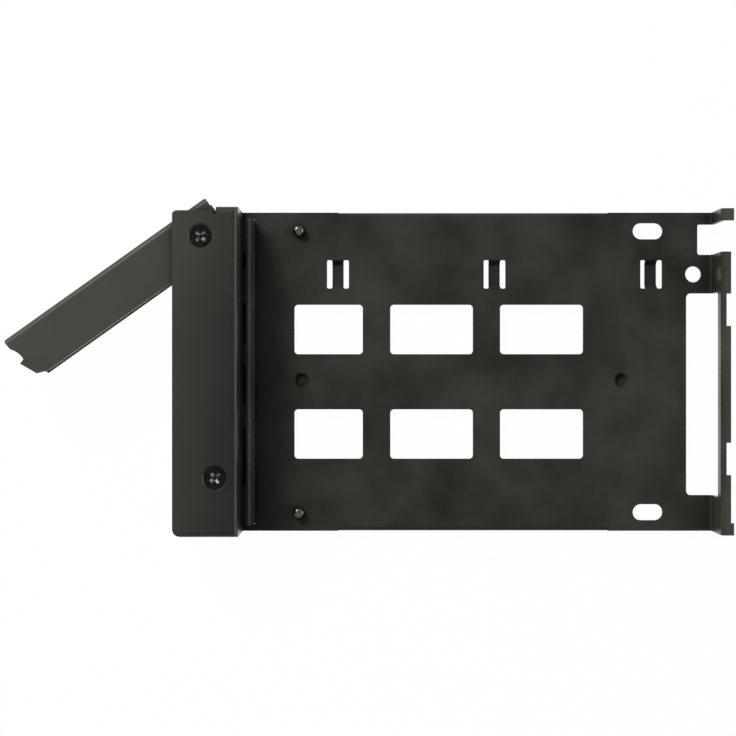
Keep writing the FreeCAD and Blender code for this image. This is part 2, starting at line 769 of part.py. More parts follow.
def make_screw(place, turn):
    """Countersunk screw whose head lies just under the housing's face."""
    shoulder = -SCREW_HEAD_RIM - (SCREW_HEAD - SCREW_RADIUS) / head_slope()
    points = [
        (0, 0),
        (SCREW_HEAD - SCREW_HEAD_RIM, 0),
        (SCREW_HEAD, -SCREW_HEAD_RIM),
        (SCREW_RADIUS, shoulder),
        (SCREW_RADIUS, SCREW_RADIUS / 2 - SCREW_LENGTH),
        (SCREW_RADIUS / 2, -SCREW_LENGTH),
        (0, -SCREW_LENGTH),
    ]
    screw = revolved(points).cut(cross_recess())
    top = place + Vector(0, 0, HOUSING_TOP - SCREW_SINK)
    screw.Placement = FreeCAD.Placement(top, FreeCAD.Rotation(Z_AXIS, turn))
    return screw


def make_washer(place, radius, height):
    base = place + Vector(0, 0, height)
    disc = rod(radius, WASHER_THICKNESS, base)
    return disc.cut(rod(POST_RADIUS + PIVOT_PLAY, WASHER_THICKNESS, base))


# ---------------------------------------------------------------- handle

def handle_outline():
    """Plan of the channel: X runs from the pivot to the latch end, and -Y is its front."""
    end = HANDLE_REACH
    front = -HANDLE_FRONT
    points = [
        Vector(TAIL_BACK_CORNER[0] - HANDLE_TAIL, HANDLE_BACK, 0),
        Vector(-HANDLE_TAIL, HANDLE_BACK - TAIL_BACK_CORNER[1], 0),
        Vector(-HANDLE_TAIL, TAIL_CORNER - HANDLE_FRONT, 0),
        Vector(TAIL_CORNER - HANDLE_TAIL, front, 0),
        Vector(end - TAIL_CORNER, front, 0),
        Vector(end, front + TAIL_CORNER, 0),
        Vector(end - NOTCH_MOUTH_BACKSET, -NOTCH_MOUTH_SIDE, 0),
    ]
    notch_floor = Vector(end - NOTCH_DEPTH, -HOLD_FACE_SIDE, 0)
    notch_middle = Vector(end - NOTCH_MIDDLE_DEPTH, -NOTCH_MIDDLE_SIDE, 0)
    back = [
        notch_floor,
        Vector(end - LIP_BACKSET, -LIP_SIDE, 0),
        Vector(end - END_SLANT[0], END_SLANT[1], 0),
        Vector(end - END_BACK_CORNER, HANDLE_BACK, 0),
        points[0],
    ]
    edges = [Part.makeLine(a, b) for a, b in zip(points, points[1:])]
    edges.append(Part.Arc(points[-1], notch_middle, notch_floor).toShape())
    edges += [Part.makeLine(a, b) for a, b in zip(back, back[1:])]
    return edges


def grille_cutters():
    """Row of upright air slots in the handle's front, as many as its length takes."""
    run = HANDLE_REACH - GRILLE_START - GRILLE_END_MARGIN
    count = int(run / GRILLE_PITCH) + 1
    middle_z = (LEVER_FLOOR + LEVER_TOP) / 2
    cutters = []
    for number in range(count):
        centre = Vector(GRILLE_START + number * GRILLE_PITCH, -HANDLE_FRONT, middle_z)
        cutters.append(obround(GRILLE_HEIGHT, GRILLE_SLOT, 4 * HANDLE_SHEET, centre, Z_AXIS, Y_AXIS))
    return cutters


def handle_hollow():
    """What the folded channel leaves open behind its front and between its two sides."""
    inner = HANDLE_SHEET - HANDLE_FRONT
    floor = LEVER_FLOOR + HANDLE_SHEET
    roof = LEVER_TOP - HANDLE_SHEET
    hollow = block((-FAR, inner, floor), (FAR, FAR, roof))
    folds = edges_near(hollow, "x", (inner, floor), (inner, roof))
    hollow = hollow.makeFillet(HANDLE_BEND, folds)
    tail = block((-FAR, -FAR, floor), (-WEB_TAIL, FAR, roof))
    return [hollow, tail]


def handle_flat():
    """The handle along X, before it is turned into its place."""
    handle = prism(handle_outline(), LEVER_FLOOR, LEVER_TOP)
    front = -HANDLE_FRONT
    folds = edges_near(handle, "x", (front, LEVER_FLOOR), (front, LEVER_TOP))
    handle = handle.makeFillet(HANDLE_SHEET + HANDLE_BEND, folds)
    lower = block((HANDLE_LUG_REACH, HANDLE_LOWER_BACK, -FAR),
                  (FAR, FAR, LEVER_FLOOR + 1.5 * HANDLE_SHEET))
    bore = rod(POST_RADIUS + PIVOT_PLAY, 2 * LEVER_HEIGHT, Vector(0, 0, LEVER_FLOOR - 1))
    return handle.cut(handle_hollow() + [lower, bore] + grille_cutters())


def handle_placement():
    """Turns the handle from along +X to its open place on the pivot."""
    rotation = FreeCAD.Rotation(Z_AXIS, -90.0 - HANDLE_OPEN_ANGLE)
    return FreeCAD.Placement(PIVOT, rotation)


def make_handle():
    handle = handle_flat().removeSplitter()
    handle.Placement = handle_placement()
    return handle


# ---------------------------------------------------------------- release button

def button_outline():
    """Plan of the rocker about the latch post: pad, rib, hub and the nose that holds the handle."""
    front = HOUSING_FRONT + BUTTON_FRONT_GAP - LATCH.x
    back = front + BUTTON_WALL
    handle_end = LATCH_CLEARANCE
    top = handle_end - BUTTON_TOP_GAP
    nose_x = PIVOT.x - HOLD_FACE_SIDE - NOSE_GAP - LATCH.x
    nose_y = handle_end + NOTCH_DEPTH - NOSE_GAP
    low_front = Vector(front, -math.sqrt(BUTTON_SWEEP**2 - front**2), 0)
    low_back = Vector(back, -math.sqrt(BUTTON_SWEEP**2 - back**2), 0)
    middle = unit(low_front + low_back) * BUTTON_SWEEP
    rib = Vector(-math.sqrt(BUTTON_HUB**2 - BUTTON_RIB_Y**2), -BUTTON_RIB_Y, 0)
    neck = Vector(nose_x, top, 0)
    shoulder = unit(neck) * BUTTON_HUB
    nose = Vector(nose_x, nose_y, 0)
    edges = [
        Part.Arc(low_front, middle, low_back).toShape(),
        Part.makeLine(low_back, Vector(back, rib.y, 0)),
        Part.makeLine(Vector(back, rib.y, 0), rib),
        Part.Arc(rib, Vector(BUTTON_HUB, 0, 0), shoulder).toShape(),
        Part.makeLine(shoulder, neck),
        Part.makeLine(neck, nose),
        Part.makeLine(nose, Vector(nose_x - NOSE_RUN, top, 0)),
        Part.makeLine(Vector(nose_x - NOSE_RUN, top, 0), Vector(front, top, 0)),
        Part.makeLine(Vector(front, top, 0), low_front),
    ]
    return edges


def finger_hollow():
    """Shallow round hollow down the pad's face."""
    front = HOUSING_FRONT + BUTTON_FRONT_GAP - LATCH.x
    centre = Vector(front + FINGER_HOLLOW - FINGER_HOLLOW_RADIUS, -LATCH_CLEARANCE / 2, -FAR / 2)
    return rod(FINGER_HOLLOW_RADIUS, FAR, centre)


def make_button():
    button = prism(button_outline(), LEVER_FLOOR, LEVER_TOP)
    bore = rod(POST_RADIUS + PIVOT_PLAY, FAR, Vector(0, 0, -FAR / 2))
    button = button.cut([bore, finger_hollow()])
    back = HOUSING_FRONT + BUTTON_FRONT_GAP + BUTTON_WALL - LATCH.x
    seat = Vector(back - BUTTON_WALL / 2, -BUTTON_SPRING_OFFSET, BUTTON_SPRING_Z)
    boss = rod(SPRING_BOSS, SPRING_BOSS_LENGTH + BUTTON_WALL / 2, seat, X_AXIS)
    button = button.fuse(boss).removeSplitter()
    button.translate(LATCH)
    return button


# ---------------------------------------------------------------- springs

def swept_wire(path, radius):
    """Wire with a five-sided section along a smooth path of edges."""
    first = path[0]
    circle = Part.makeCircle(radius, first.valueAt(first.FirstParameter),
                             first.tangentAt(first.FirstParameter))
    corners = circle.discretize(WIRE_SIDES + 1)
    return Part.Wire(path).makePipeShell([Part.makePolygon(corners)], True, True)


def tangent_angle(point, radius, side):
    """Angle on a circle where the tangent through an outside point touches it."""
    spread = math.acos(radius / point.Length)
    return math.atan2(point.y, point.x) + side * spread


def make_handle_spring():
    """Torsion coil round the pivot post, one leg on the back wall and one on the handle."""
    radius = POST_RADIUS + COIL_GAP + COIL_WIRE
    touch = COIL_WIRE + COIL_LEG_TOUCH
    wall_leg = Vector(CAVITY_BACK - PIVOT.x - touch, -HANDLE_BACK - COIL_GAP, 0)
    turned = FreeCAD.Rotation(Z_AXIS, -90.0 - HANDLE_OPEN_ANGLE)
    arm_leg = turned.multVec(Vector(COIL_LEG, HANDLE_SHEET - HANDLE_FRONT + touch, 0))
    first = tangent_angle(wall_leg, radius, 1)
    last = tangent_angle(arm_leg, radius, -1)
    turns = COIL_TURNS + ((last - first) / (2 * math.pi)) % 1
    height = turns * COIL_PITCH
    coil = Part.makeHelix(COIL_PITCH, height, radius)
    coil.rotate(Vector(0, 0, 0), Z_AXIS, math.degrees(first))
    start = Vector(radius * math.cos(first), radius * math.sin(first), 0)
    end = Vector(radius * math.cos(last), radius * math.sin(last), height)
    climb = COIL_PITCH / (2 * math.pi * radius)
    wall_leg.z = -climb * math.sqrt(wall_leg.Length**2 - radius**2)
    arm_leg.z = height + climb * math.sqrt(arm_leg.Length**2 - radius**2)
    path = [Part.makeLine(wall_leg, start)] + coil.Edges + [Part.makeLine(end, arm_leg)]
    spring = swept_wire(path, COIL_WIRE)
    spring.translate(PIVOT + Vector(0, 0, (LEVER_FLOOR + LEVER_TOP - height) / 2))
    return spring


def make_button_spring():
    """Compression coil between the pad's boss and the housing's back wall."""
    radius = SPRING_BOSS + BUTTON_SPRING_GAP + BUTTON_SPRING_WIRE
    pad = HOUSING_FRONT + BUTTON_FRONT_GAP + BUTTON_WALL
    low = pad + BUTTON_SPRING_SEAT + BUTTON_SPRING_WIRE
    high = CAVITY_BACK - BUTTON_SPRING_SEAT - BUTTON_SPRING_WIRE
    pitch = (high - low) / BUTTON_SPRING_TURNS
    coil = Part.makeHelix(pitch, high - low, radius)
    spring = swept_wire(coil.Edges, BUTTON_SPRING_WIRE)
    place = Vector(low, LATCH.y - BUTTON_SPRING_OFFSET, BUTTON_SPRING_Z)
    spring.Placement = FreeCAD.Placement(place, FreeCAD.Rotation(Z_AXIS, X_AXIS))
    return spring


# ---------------------------------------------------------------- all pieces

def make_pieces():
    right_pin, left_pin = [make_pin(place) for place in pin_places()]
    right_rivet, left_rivet = [rivet(place) for place in rivet_places()]
    washer_floor = CAVITY_FLOOR
    washer_roof = CAVITY_TOP - WASHER_THICKNESS
    return {
        "tray": make_tray(),
        "front_housing": make_housing(),
        "handle": make_handle(),
        "handle_spring": make_handle_spring(),
        "pivot_post": make_post(PIVOT),
        "pivot_screw": make_screw(PIVOT, PIVOT_SCREW_TURN),
        "handle_washer_lower": make_washer(PIVOT, PIVOT_WASHER, washer_floor),
        "handle_washer_upper": make_washer(PIVOT, PIVOT_WASHER, washer_roof),
        "release_button": make_button(),
        "button_spring": make_button_spring(),
        "latch_post": make_post(LATCH),
        "latch_screw": make_screw(LATCH, LATCH_SCREW_TURN),
        "button_washer_lower": make_washer(LATCH, LATCH_WASHER, washer_floor),
        "button_washer_upper": make_washer(LATCH, LATCH_WASHER, washer_roof),
        "drive_pin_right": right_pin,
        "drive_pin_left": left_pin,
        "housing_rivet_right": right_rivet,
        "housing_rivet_left": left_rivet,
    }


os.makedirs("parts", exist_ok=True)
for name, shape in make_pieces().items():
    shape.exportStep("parts/" + name + ".step")
    print(name, shape.ShapeType, len(shape.Solids), shape.isValid(), round(shape.Volume, 2))
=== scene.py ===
import json
import math

import bpy
from bpy.props import FloatProperty, FloatVectorProperty, IntProperty, PointerProperty
from bpy.types import Operator, Panel, PropertyGroup
from mathutils import Matrix, Vector


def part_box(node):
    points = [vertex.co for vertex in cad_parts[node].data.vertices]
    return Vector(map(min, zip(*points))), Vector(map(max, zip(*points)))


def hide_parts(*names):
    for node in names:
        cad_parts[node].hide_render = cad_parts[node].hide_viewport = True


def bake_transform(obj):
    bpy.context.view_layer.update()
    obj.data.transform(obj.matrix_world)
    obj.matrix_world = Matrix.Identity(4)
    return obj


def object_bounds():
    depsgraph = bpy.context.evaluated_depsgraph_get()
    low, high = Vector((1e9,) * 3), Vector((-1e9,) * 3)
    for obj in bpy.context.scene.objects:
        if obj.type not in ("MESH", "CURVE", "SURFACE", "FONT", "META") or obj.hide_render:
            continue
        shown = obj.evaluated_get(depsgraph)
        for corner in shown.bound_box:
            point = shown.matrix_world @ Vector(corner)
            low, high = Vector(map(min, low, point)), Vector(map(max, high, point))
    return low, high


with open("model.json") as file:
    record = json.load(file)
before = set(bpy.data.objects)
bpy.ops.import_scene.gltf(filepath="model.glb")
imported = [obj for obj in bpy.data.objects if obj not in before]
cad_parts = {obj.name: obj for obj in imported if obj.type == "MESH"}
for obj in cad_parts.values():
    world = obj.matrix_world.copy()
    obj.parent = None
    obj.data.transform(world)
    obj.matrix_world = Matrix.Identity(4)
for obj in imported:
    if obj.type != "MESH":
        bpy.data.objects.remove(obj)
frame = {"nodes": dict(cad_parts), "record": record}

bl_info = {
    "name": "Drive caddy looks",
    "version": (1, 1, 0),
    "blender": (4, 5, 0),
    "location": "View3D > Sidebar > Caddy",
    "description": "Finishes, springs and studio for a hot swap drive caddy",
    "category": "Object",
}

CAD_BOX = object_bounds()
NODES = frame["nodes"]
JOINTS = {joint["name"]: joint for joint in frame["record"]["behaviour"]["joints"]}


def lowest(node):
    """Low corner of a CAD node's box, in metres."""
    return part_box(node)[0]


def highest(node):
    """High corner of a CAD node's box, in metres."""
    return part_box(node)[1]


def middle(node):
    """Centre of a CAD node's box, in metres."""
    return (lowest(node) + highest(node)) / 2


# ------------------------------------------------------------------ settings

class FinishSettings(PropertyGroup):
    """Colours, gloss and wear of the caddy's coated and bare metal."""

    coat_colour: FloatVectorProperty(
        name="Coat colour",
        description="Colour of the black coating on the folded sheets",
        subtype="COLOR", size=3, min=0.0, max=1.0,
        default=(0.0280, 0.0284, 0.0236),
    )
    coat_roughness: FloatProperty(
        name="Coat roughness",
        description="Roughness of the black coating",
        subtype="FACTOR", min=0.0, max=1.0, default=0.33,
    )
    skin_roughness: FloatProperty(
        name="Skin roughness",
        description="Roughness of the coating's clear outer skin",
        subtype="FACTOR", min=0.05, max=1.0, default=0.33,
    )
    handle_lift: FloatProperty(
        name="Handle lift",
        description="Paleness of the handle's coat, where the tray's is one",
        subtype="FACTOR", min=0.5, max=5.0, default=1.86,
    )
    housing_lift: FloatProperty(
        name="Housing lift",
        description="Paleness of the housing's coat, where the tray's is one",
        subtype="FACTOR", min=0.0, max=5.0, default=0.38,
    )
    # Painted light: the pale band lift paints the housing's top paler towards its front; a share
    # of it makes the tray's rear flange paler
    rubbed_lift: FloatProperty(
        name="Rubbed front lift",
        description="Paleness added along the housing's front, as painted light that brightens it towards the front",
        subtype="FACTOR", min=0.0, max=3.0, default=1.45,
    )
    handled_lift: FloatProperty(
        name="Handled end lift",
        description="Paleness added towards the housing's pivot end",
        subtype="FACTOR", min=0.0, max=3.0, default=1.0,
    )
    coat_grain: FloatProperty(
        name="Coat grain size",
        description="Size of the coating's fine grain",
        subtype="DISTANCE", unit="LENGTH", min=0.00005, max=0.002, default=0.0004,
    )
    coat_relief: FloatProperty(
        name="Coat relief",
        description="Strength of the coating's grain in relief",
        subtype="FACTOR", min=0.0, max=1.0, default=0.12,
    )
    blotch_size: FloatProperty(
        name="Blotch size",
        description="Size of the soft cloudy patches in the coating",
        subtype="DISTANCE", unit="LENGTH", min=0.001, max=0.1, default=0.010,
    )
    tray_blotches: FloatProperty(
        name="Tray blotches",
        description="How strongly the cloudy patches show on the tray",
        subtype="FACTOR", min=0.0, max=1.0, default=0.50,
    )
    housing_blotches: FloatProperty(
        name="Housing blotches",
        description="How strongly the cloudy patches show on the housing",
        subtype="FACTOR", min=0.0, max=1.0, default=0.28,
    )
    handle_blotches: FloatProperty(
        name="Handle blotches",
        description="How strongly the cloudy patches show on the handle",
        subtype="FACTOR", min=0.0, max=1.0, default=0.08,
    )
    # Painted shade: the coating's colour is darkened inside folds and beside walls, and the
    # coating is also made rougher there
    fold_shade_reach: FloatProperty(
        name="Fold reach",
        description="How far from a fold's inside the coating is painted in shade and dull",
        subtype="DISTANCE", unit="LENGTH", min=0.0001, max=0.02, default=0.009,
    )
    fold_shade_and_dullness: FloatProperty(
        name="Fold dullness",
        description="How much darker and duller the coating is inside a fold",
        subtype="FACTOR", min=0.0, max=1.0, default=0.5,
    )
    corner_reach: FloatProperty(
        name="Corner reach",
        description="How far from an inner corner the coat has lost its shine",
        subtype="DISTANCE", unit="LENGTH", min=0.0001, max=0.01, default=0.0022,
    )
    # Edges are painted paler towards the worn colour: partly wear of the coating, partly a
    # painted highlight
    edge_width: FloatProperty(
        name="Worn edge width",
        description="How far the coating's wear and painted highlight reach from an edge",
        subtype="DISTANCE", unit="LENGTH", min=0.00001, max=0.002, default=0.00022,
    )
    edge_wear_and_highlight: FloatProperty(
        name="Edge wear",
        description="How far the worn and highlight colour covers the coating along an edge",
        subtype="FACTOR", min=0.0, max=1.0, default=0.10,
    )
    worn_and_highlight_colour: FloatVectorProperty(
        name="Worn colour",
        description="Colour of the coating where an edge is worn and painted with a highlight",
        subtype="COLOR", size=3, min=0.0, max=1.0,
        default=(0.13, 0.13, 0.12),
    )
    steel_colour: FloatVectorProperty(
        name="Bare steel colour",
        description="Colour of uncoated steel on springs, posts and washers",
        subtype="COLOR", size=3, min=0.0, max=1.0,
        default=(0.50, 0.49, 0.47),
    )
    steel_roughness: FloatProperty(
        name="Bare steel roughness",
        description="Roughness of uncoated steel",
        subtype="FACTOR", min=0.0, max=1.0, default=0.28,
    )
    pin_colour: FloatVectorProperty(
        name="Pin colour",
        description="Colour of the locating pins' domes",
        subtype="COLOR", size=3, min=0.0, max=1.0,
        default=(0.080, 0.076, 0.070),
    )
    screw_colour: FloatVectorProperty(
        name="Screw colour",
        description="Colour of the blackened screws",
        subtype="COLOR", size=3, min=0.0, max=1.0,
        default=(0.0095, 0.0095, 0.0085),
    )
    # Painted glints: the recess flanks are painted bright, partly as rubbed bare steel
    recess_wear_and_glint_colour: FloatVectorProperty(
        name="Recess colour",
        description="Colour of the screws' driver recess, which is rubbed bright and painted with glints",
        subtype="COLOR", size=3, min=0.0, max=1.0,
        default=(0.24, 0.24, 0.22),
    )


class SpringSettings(PropertyGroup):
    """Wire, coils and legs of the two springs."""

    handle_wire: FloatProperty(
        name="Handle spring wire",
        description="Radius of the handle spring's wire",
        subtype="DISTANCE", unit="LENGTH", min=0.0001, max=0.001, default=0.0003,
    )
    handle_coil: FloatProperty(
        name="Handle spring coil",
        description="Radius of the handle spring's coil at the middle of its wire",
        subtype="DISTANCE", unit="LENGTH", min=0.002, max=0.01, default=0.0035,
    )
    wall_leg: FloatVectorProperty(
        name="Wall leg",
        description="End of the leg that presses on the back wall, from the pivot",
        subtype="TRANSLATION", unit="LENGTH", size=2, default=(0.00645, -0.0049),
    )
    arm_leg: FloatVectorProperty(
        name="Arm leg",
        description="End of the leg that presses on the open handle, from the pivot",
        subtype="TRANSLATION", unit="LENGTH", size=2, default=(-0.01268, -0.00288),
    )
    handle_turns: IntProperty(
        name="Handle spring turns",
        description="Whole turns in the handle spring",
        min=1, max=8, default=2,
    )
    button_wire: FloatProperty(
        name="Button spring wire",
        description="Radius of the button spring's wire",
        subtype="DISTANCE", unit="LENGTH", min=0.0001, max=0.001, default=0.00025,
    )
    button_turns: FloatProperty(
        name="Button spring turns",
        description="Number of turns in the button spring",
        min=2.0, max=12.0, default=6.0,
    )
    closed_ends: FloatProperty(
        name="Closed ends",
        description="Share of the button spring's wire that lies flat at each end",
        subtype="FACTOR", min=0.0, max=0.4, default=0.16,
    )


class StudioSettings(PropertyGroup):
    """Camera and lamps of the studio."""

    camera_place: FloatVectorProperty(
        name="Camera place",
        description="Place of the camera, which looks straight down",
        subtype="TRANSLATION", unit="LENGTH", size=3, default=(-0.0231, 0.00082, 0.37),
    )
    field_width: FloatProperty(
        name="Field width",
        description="Width that the camera sees at the tray's floor",
        subtype="DISTANCE", unit="LENGTH", min=0.05, max=1.0, default=0.1616,
    )
    key_power: FloatProperty(
        name="Key light",
        description="Power of the small soft light above the front left corner",
        subtype="POWER", unit="POWER", min=0.0, max=50.0, default=4.3,
    )
    front_power: FloatProperty(
        name="Front light",
        description="Power of the low soft light beyond the front",
        subtype="POWER", unit="POWER", min=0.0, max=50.0, default=3.0,
    )
    rear_power: FloatProperty(
        name="Rear light",
        description="Power of the low soft light beyond the rear",
        subtype="POWER", unit="POWER", min=0.0, max=50.0, default=8.5,
    )
    world_strength: FloatProperty(
        name="Surrounding light",
        description="Strength of the even light from all round",
        min=0.0, max=3.0, default=0.13,
    )


# ------------------------------------------------------------------ node helpers

def add_node(tree, kind, place=(0, 0), **values):
    """New node with its attributes set from keywords."""
    node = tree.nodes.new(kind)
    node.location = place
    for key, value in values.items():
        setattr(node, key, value)
    return node


def feed(tree, socket, value):
    """Links an output to a socket, or sets the socket to a plain value."""
    if isinstance(value, bpy.types.NodeSocket):
        tree.links.new(value, socket)
    else:
        socket.default_value = value


def new_group(name, kind, inputs, outputs):
    """Node group with named sockets; returns the tree, its inputs and its end node."""
    tree = bpy.data.node_groups.new(name, kind)
    for label, socket_kind, default in inputs:
        socket = tree.interface.new_socket(name=label, in_out="INPUT", socket_type=socket_kind)
        if default is not None:
            socket.default_value = default
    for label, socket_kind in outputs:
        tree.interface.new_socket(name=label, in_out="OUTPUT", socket_type=socket_kind)
    start = add_node(tree, "NodeGroupInput", (-900, 0))
    end = add_node(tree, "NodeGroupOutput", (900, 0))
    return tree, start.outputs, end


def math_node(tree, operation, a, b, c=None, clamp=False):
    """Math node whose two or three inputs are sockets or numbers."""
    node = add_node(tree, "ShaderNodeMath", operation=operation, use_clamp=clamp)
    feed(tree, node.inputs[0], a)
    feed(tree, node.inputs[1], b)
    if c is not None:
        feed(tree, node.inputs[2], c)
    return node.outputs[0]


def vector_node(tree, operation, a, b, result="Vector"):
    """Vector math node whose second input is a vector, or a number where it scales."""
    node = add_node(tree, "ShaderNodeVectorMath", operation=operation)
    feed(tree, node.inputs[0], a)
    feed(tree, node.inputs["Scale" if operation == "SCALE" else 1], b)
    return node.outputs[result]


def noise_node(tree, vector, scale, detail=2.0, roughness=0.5):
    """Noise texture; scale is a number or a socket."""
    node = add_node(tree, "ShaderNodeTexNoise")
    feed(tree, node.inputs["Vector"], vector)
    feed(tree, node.inputs["Scale"], scale)
    feed(tree, node.inputs["Detail"], detail)
    feed(tree, node.inputs["Roughness"], roughness)
    return node.outputs["Fac"]


def range_node(tree, value, low, high, to_low=0.0, to_high=1.0):
    """Maps a socket's range smoothly onto another."""
    node = add_node(tree, "ShaderNodeMapRange", interpolation_type="SMOOTHSTEP")
    for key, number in (("Value", value), ("From Min", low), ("From Max", high),
                        ("To Min", to_low), ("To Max", to_high)):
        feed(tree, node.inputs[key], number)
    return node.outputs["Result"]


def mix_colours(tree, factor, a, b):
    """Colour that goes from a to b as the factor goes from zero to one."""
    node = add_node(tree, "ShaderNodeMix", data_type="RGBA")
    feed(tree, node.inputs["Factor"], factor)
    feed(tree, node.inputs["A"], a)
    feed(tree, node.inputs["B"], b)
    return node.outputs["Result"]


def object_place(tree):
    """Object coordinates, so that every pattern keeps to its piece."""
    return add_node(tree, "ShaderNodeTexCoord").outputs["Object"]


def along_axes(tree, vector):
    """The X, Y and Z outputs of a vector."""
    apart = add_node(tree, "ShaderNodeSeparateXYZ")
    feed(tree, apart.inputs[0], vector)
    return apart.outputs


def opaque(colour, lift=1.0):
    """Colour with alpha one, paler by a factor."""
    return tuple(channel * lift for channel in colour) + (1.0,)


def shared(name):
    """Lets a function build its node group under this name once, and then find it again."""
    def keep(build):
        def find():
            return bpy.data.node_groups.get(name) or build(name)
        return find
    return keep


# ------------------------------------------------------------------ shared effects

# Labels of the zones where the coating is paler, and the axis along which each one fades in; the
# pale band on the housing's front is painted light
PALE_ZONES = {"Rubbed": "X", "Handled": "Y"}

# Openness of the space in front of a face where sheltering begins and where it is full; in folds
# this sets where shade is painted into the coating's colour
FOLD_SHADE_OPENNESS = (0.97, 0.55)
CORNER_OPENNESS = (0.96, 0.70)
SHELTER_SAMPLES = 6

# Cosine of an edge's rounding where wear and a painted highlight begin and where they are full,
# and how they are chipped
EDGE_COSINES = (0.995, 0.8)
EDGE_SAMPLES = 6
CHIP_SCALE = 420.0
CHIP_BAND = (0.35, 0.65)
CHIP_LEAST = 0.45

# Band of the noise that makes the coating's patches, and the broad ones' scale to the soft ones'
PATCH_BAND = (0.3, 0.7)
BROAD_SCALE = 0.37

# How much each pattern changes the coating's roughness
GRAIN_ON_ROUGHNESS = 0.12
CLOUD_ON_ROUGHNESS = 0.05
FOLD_ON_ROUGHNESS = 0.7

# Steel: fine marks that run level round Z, and stains of which this is the palest
MARK_SCALES = (500.0, 500.0, 9000.0)
STAIN_SCALE = 1400.0
STAIN_BAND = (0.35, 0.65)
PALEST_STAIN = 1.15


def shelter_node(tree, reach, openness):
    """Zero on open faces and one where other faces within reach close round."""
    node = add_node(tree, "ShaderNodeAmbientOcclusion", samples=SHELTER_SAMPLES)
    feed(tree, node.inputs["Distance"], reach)
    return range_node(tree, node.outputs["AO"], *openness)


def cloud_node(tree, where, scale):
    """Soft patches at two sizes, from minus one to one."""
    soft = noise_node(tree, where, scale)
    broad = noise_node(tree, where, math_node(tree, "MULTIPLY", scale, BROAD_SCALE), detail=1.0)
    return math_node(tree, "ADD", range_node(tree, soft, *PATCH_BAND, -0.5, 0.5),
                     range_node(tree, broad, *PATCH_BAND, -0.5, 0.5))


def edge_node(tree, where, width, wear):
    """Wear and a painted highlight along the edges: how far a rounded edge's normal leans from
    the true one, chipped.
    """
    rounded = add_node(tree, "ShaderNodeBevel", samples=EDGE_SAMPLES)
    feed(tree, rounded.inputs["Radius"], width)
    true_normal = add_node(tree, "ShaderNodeNewGeometry").outputs["Normal"]
    cosine = vector_node(tree, "DOT_PRODUCT", rounded.outputs["Normal"], true_normal, "Value")
    edge = range_node(tree, cosine, *EDGE_COSINES)
    chips = noise_node(tree, where, CHIP_SCALE, detail=3.0, roughness=0.6)
    edge = math_node(tree, "MULTIPLY", edge, range_node(tree, chips, *CHIP_BAND, CHIP_LEAST, 1.0))
    return math_node(tree, "MULTIPLY", edge, wear)


@shared("Powder coat")
def powder_coat(name):
    """Black coating: fine grain in relief, soft blotches, paler zones of which the housing's
    front band is painted light, painted shade in folds, and edges worn and painted with a
    highlight.
    """
    zone_inputs = [(label + part, "NodeSocketFloat", value) for label in PALE_ZONES
                   for part, value in ((" from", -1.0), (" to", -2.0), (" lift", 0.0))]
    tree, inputs, end = new_group(
        name, "ShaderNodeTree",
        [("Base", "NodeSocketColor", (0.02, 0.02, 0.02, 1.0)),
         ("Roughness", "NodeSocketFloat", 0.4),
         ("Grain", "NodeSocketFloat", 2500.0),
         ("Blotch", "NodeSocketFloat", 70.0),
         ("Cloud", "NodeSocketFloat", 0.2),
         *zone_inputs,
         ("Fold reach", "NodeSocketFloat", 0.002),
         ("Fold dullness", "NodeSocketFloat", 0.5),
         ("Corner reach", "NodeSocketFloat", 0.002),
         ("Edge width", "NodeSocketFloat", 0.0002),
         ("Edge wear", "NodeSocketFloat", 0.3),
         ("Worn", "NodeSocketColor", (0.1, 0.1, 0.1, 1.0))],
        [("Color", "NodeSocketColor"), ("Roughness", "NodeSocketFloat"),
         ("Height", "NodeSocketFloat"), ("Shine", "NodeSocketFloat")],
    )
    where = object_place(tree)
    grain = noise_node(tree, where, inputs["Grain"], detail=3.0, roughness=0.6)
    cloud = cloud_node(tree, where, inputs["Blotch"])
    lift = math_node(tree, "MULTIPLY_ADD", cloud, inputs["Cloud"], 1.0)
    axes = along_axes(tree, where)
    for label, axis in PALE_ZONES.items():
        zone = range_node(tree, axes[axis], inputs[label + " from"], inputs[label + " to"])
        paler = math_node(tree, "MULTIPLY", zone, inputs[label + " lift"])
        lift = math_node(tree, "ADD", lift, paler)
    # Painted shade: the coating is darkened where faces close round it, and made rougher there
    fold = math_node(tree, "MULTIPLY", shelter_node(tree, inputs["Fold reach"], FOLD_SHADE_OPENNESS),
                     inputs["Fold dullness"])
    lift = math_node(tree, "MULTIPLY", lift, math_node(tree, "SUBTRACT", 1.0, fold))
    body = vector_node(tree, "SCALE", inputs["Base"], lift)
    # Edges mixed towards the paler worn colour: partly wear, partly a painted highlight
    edge = edge_node(tree, where, inputs["Edge width"], inputs["Edge wear"])
    feed(tree, end.inputs["Color"], mix_colours(tree, edge, body, inputs["Worn"]))

    wobble = math_node(tree, "SUBTRACT", grain, 0.5)
    rough = math_node(tree, "MULTIPLY_ADD", wobble, GRAIN_ON_ROUGHNESS, inputs["Roughness"])
    rough = math_node(tree, "MULTIPLY_ADD", cloud, -CLOUD_ON_ROUGHNESS, rough)
    rough = math_node(tree, "MULTIPLY_ADD", fold, FOLD_ON_ROUGHNESS, rough, clamp=True)
    feed(tree, end.inputs["Roughness"], rough)
    feed(tree, end.inputs["Height"], grain)
    corner = shelter_node(tree, inputs["Corner reach"], CORNER_OPENNESS)
    feed(tree, end.inputs["Shine"], math_node(tree, "SUBTRACT", 1.0, corner, clamp=True))
    return tree


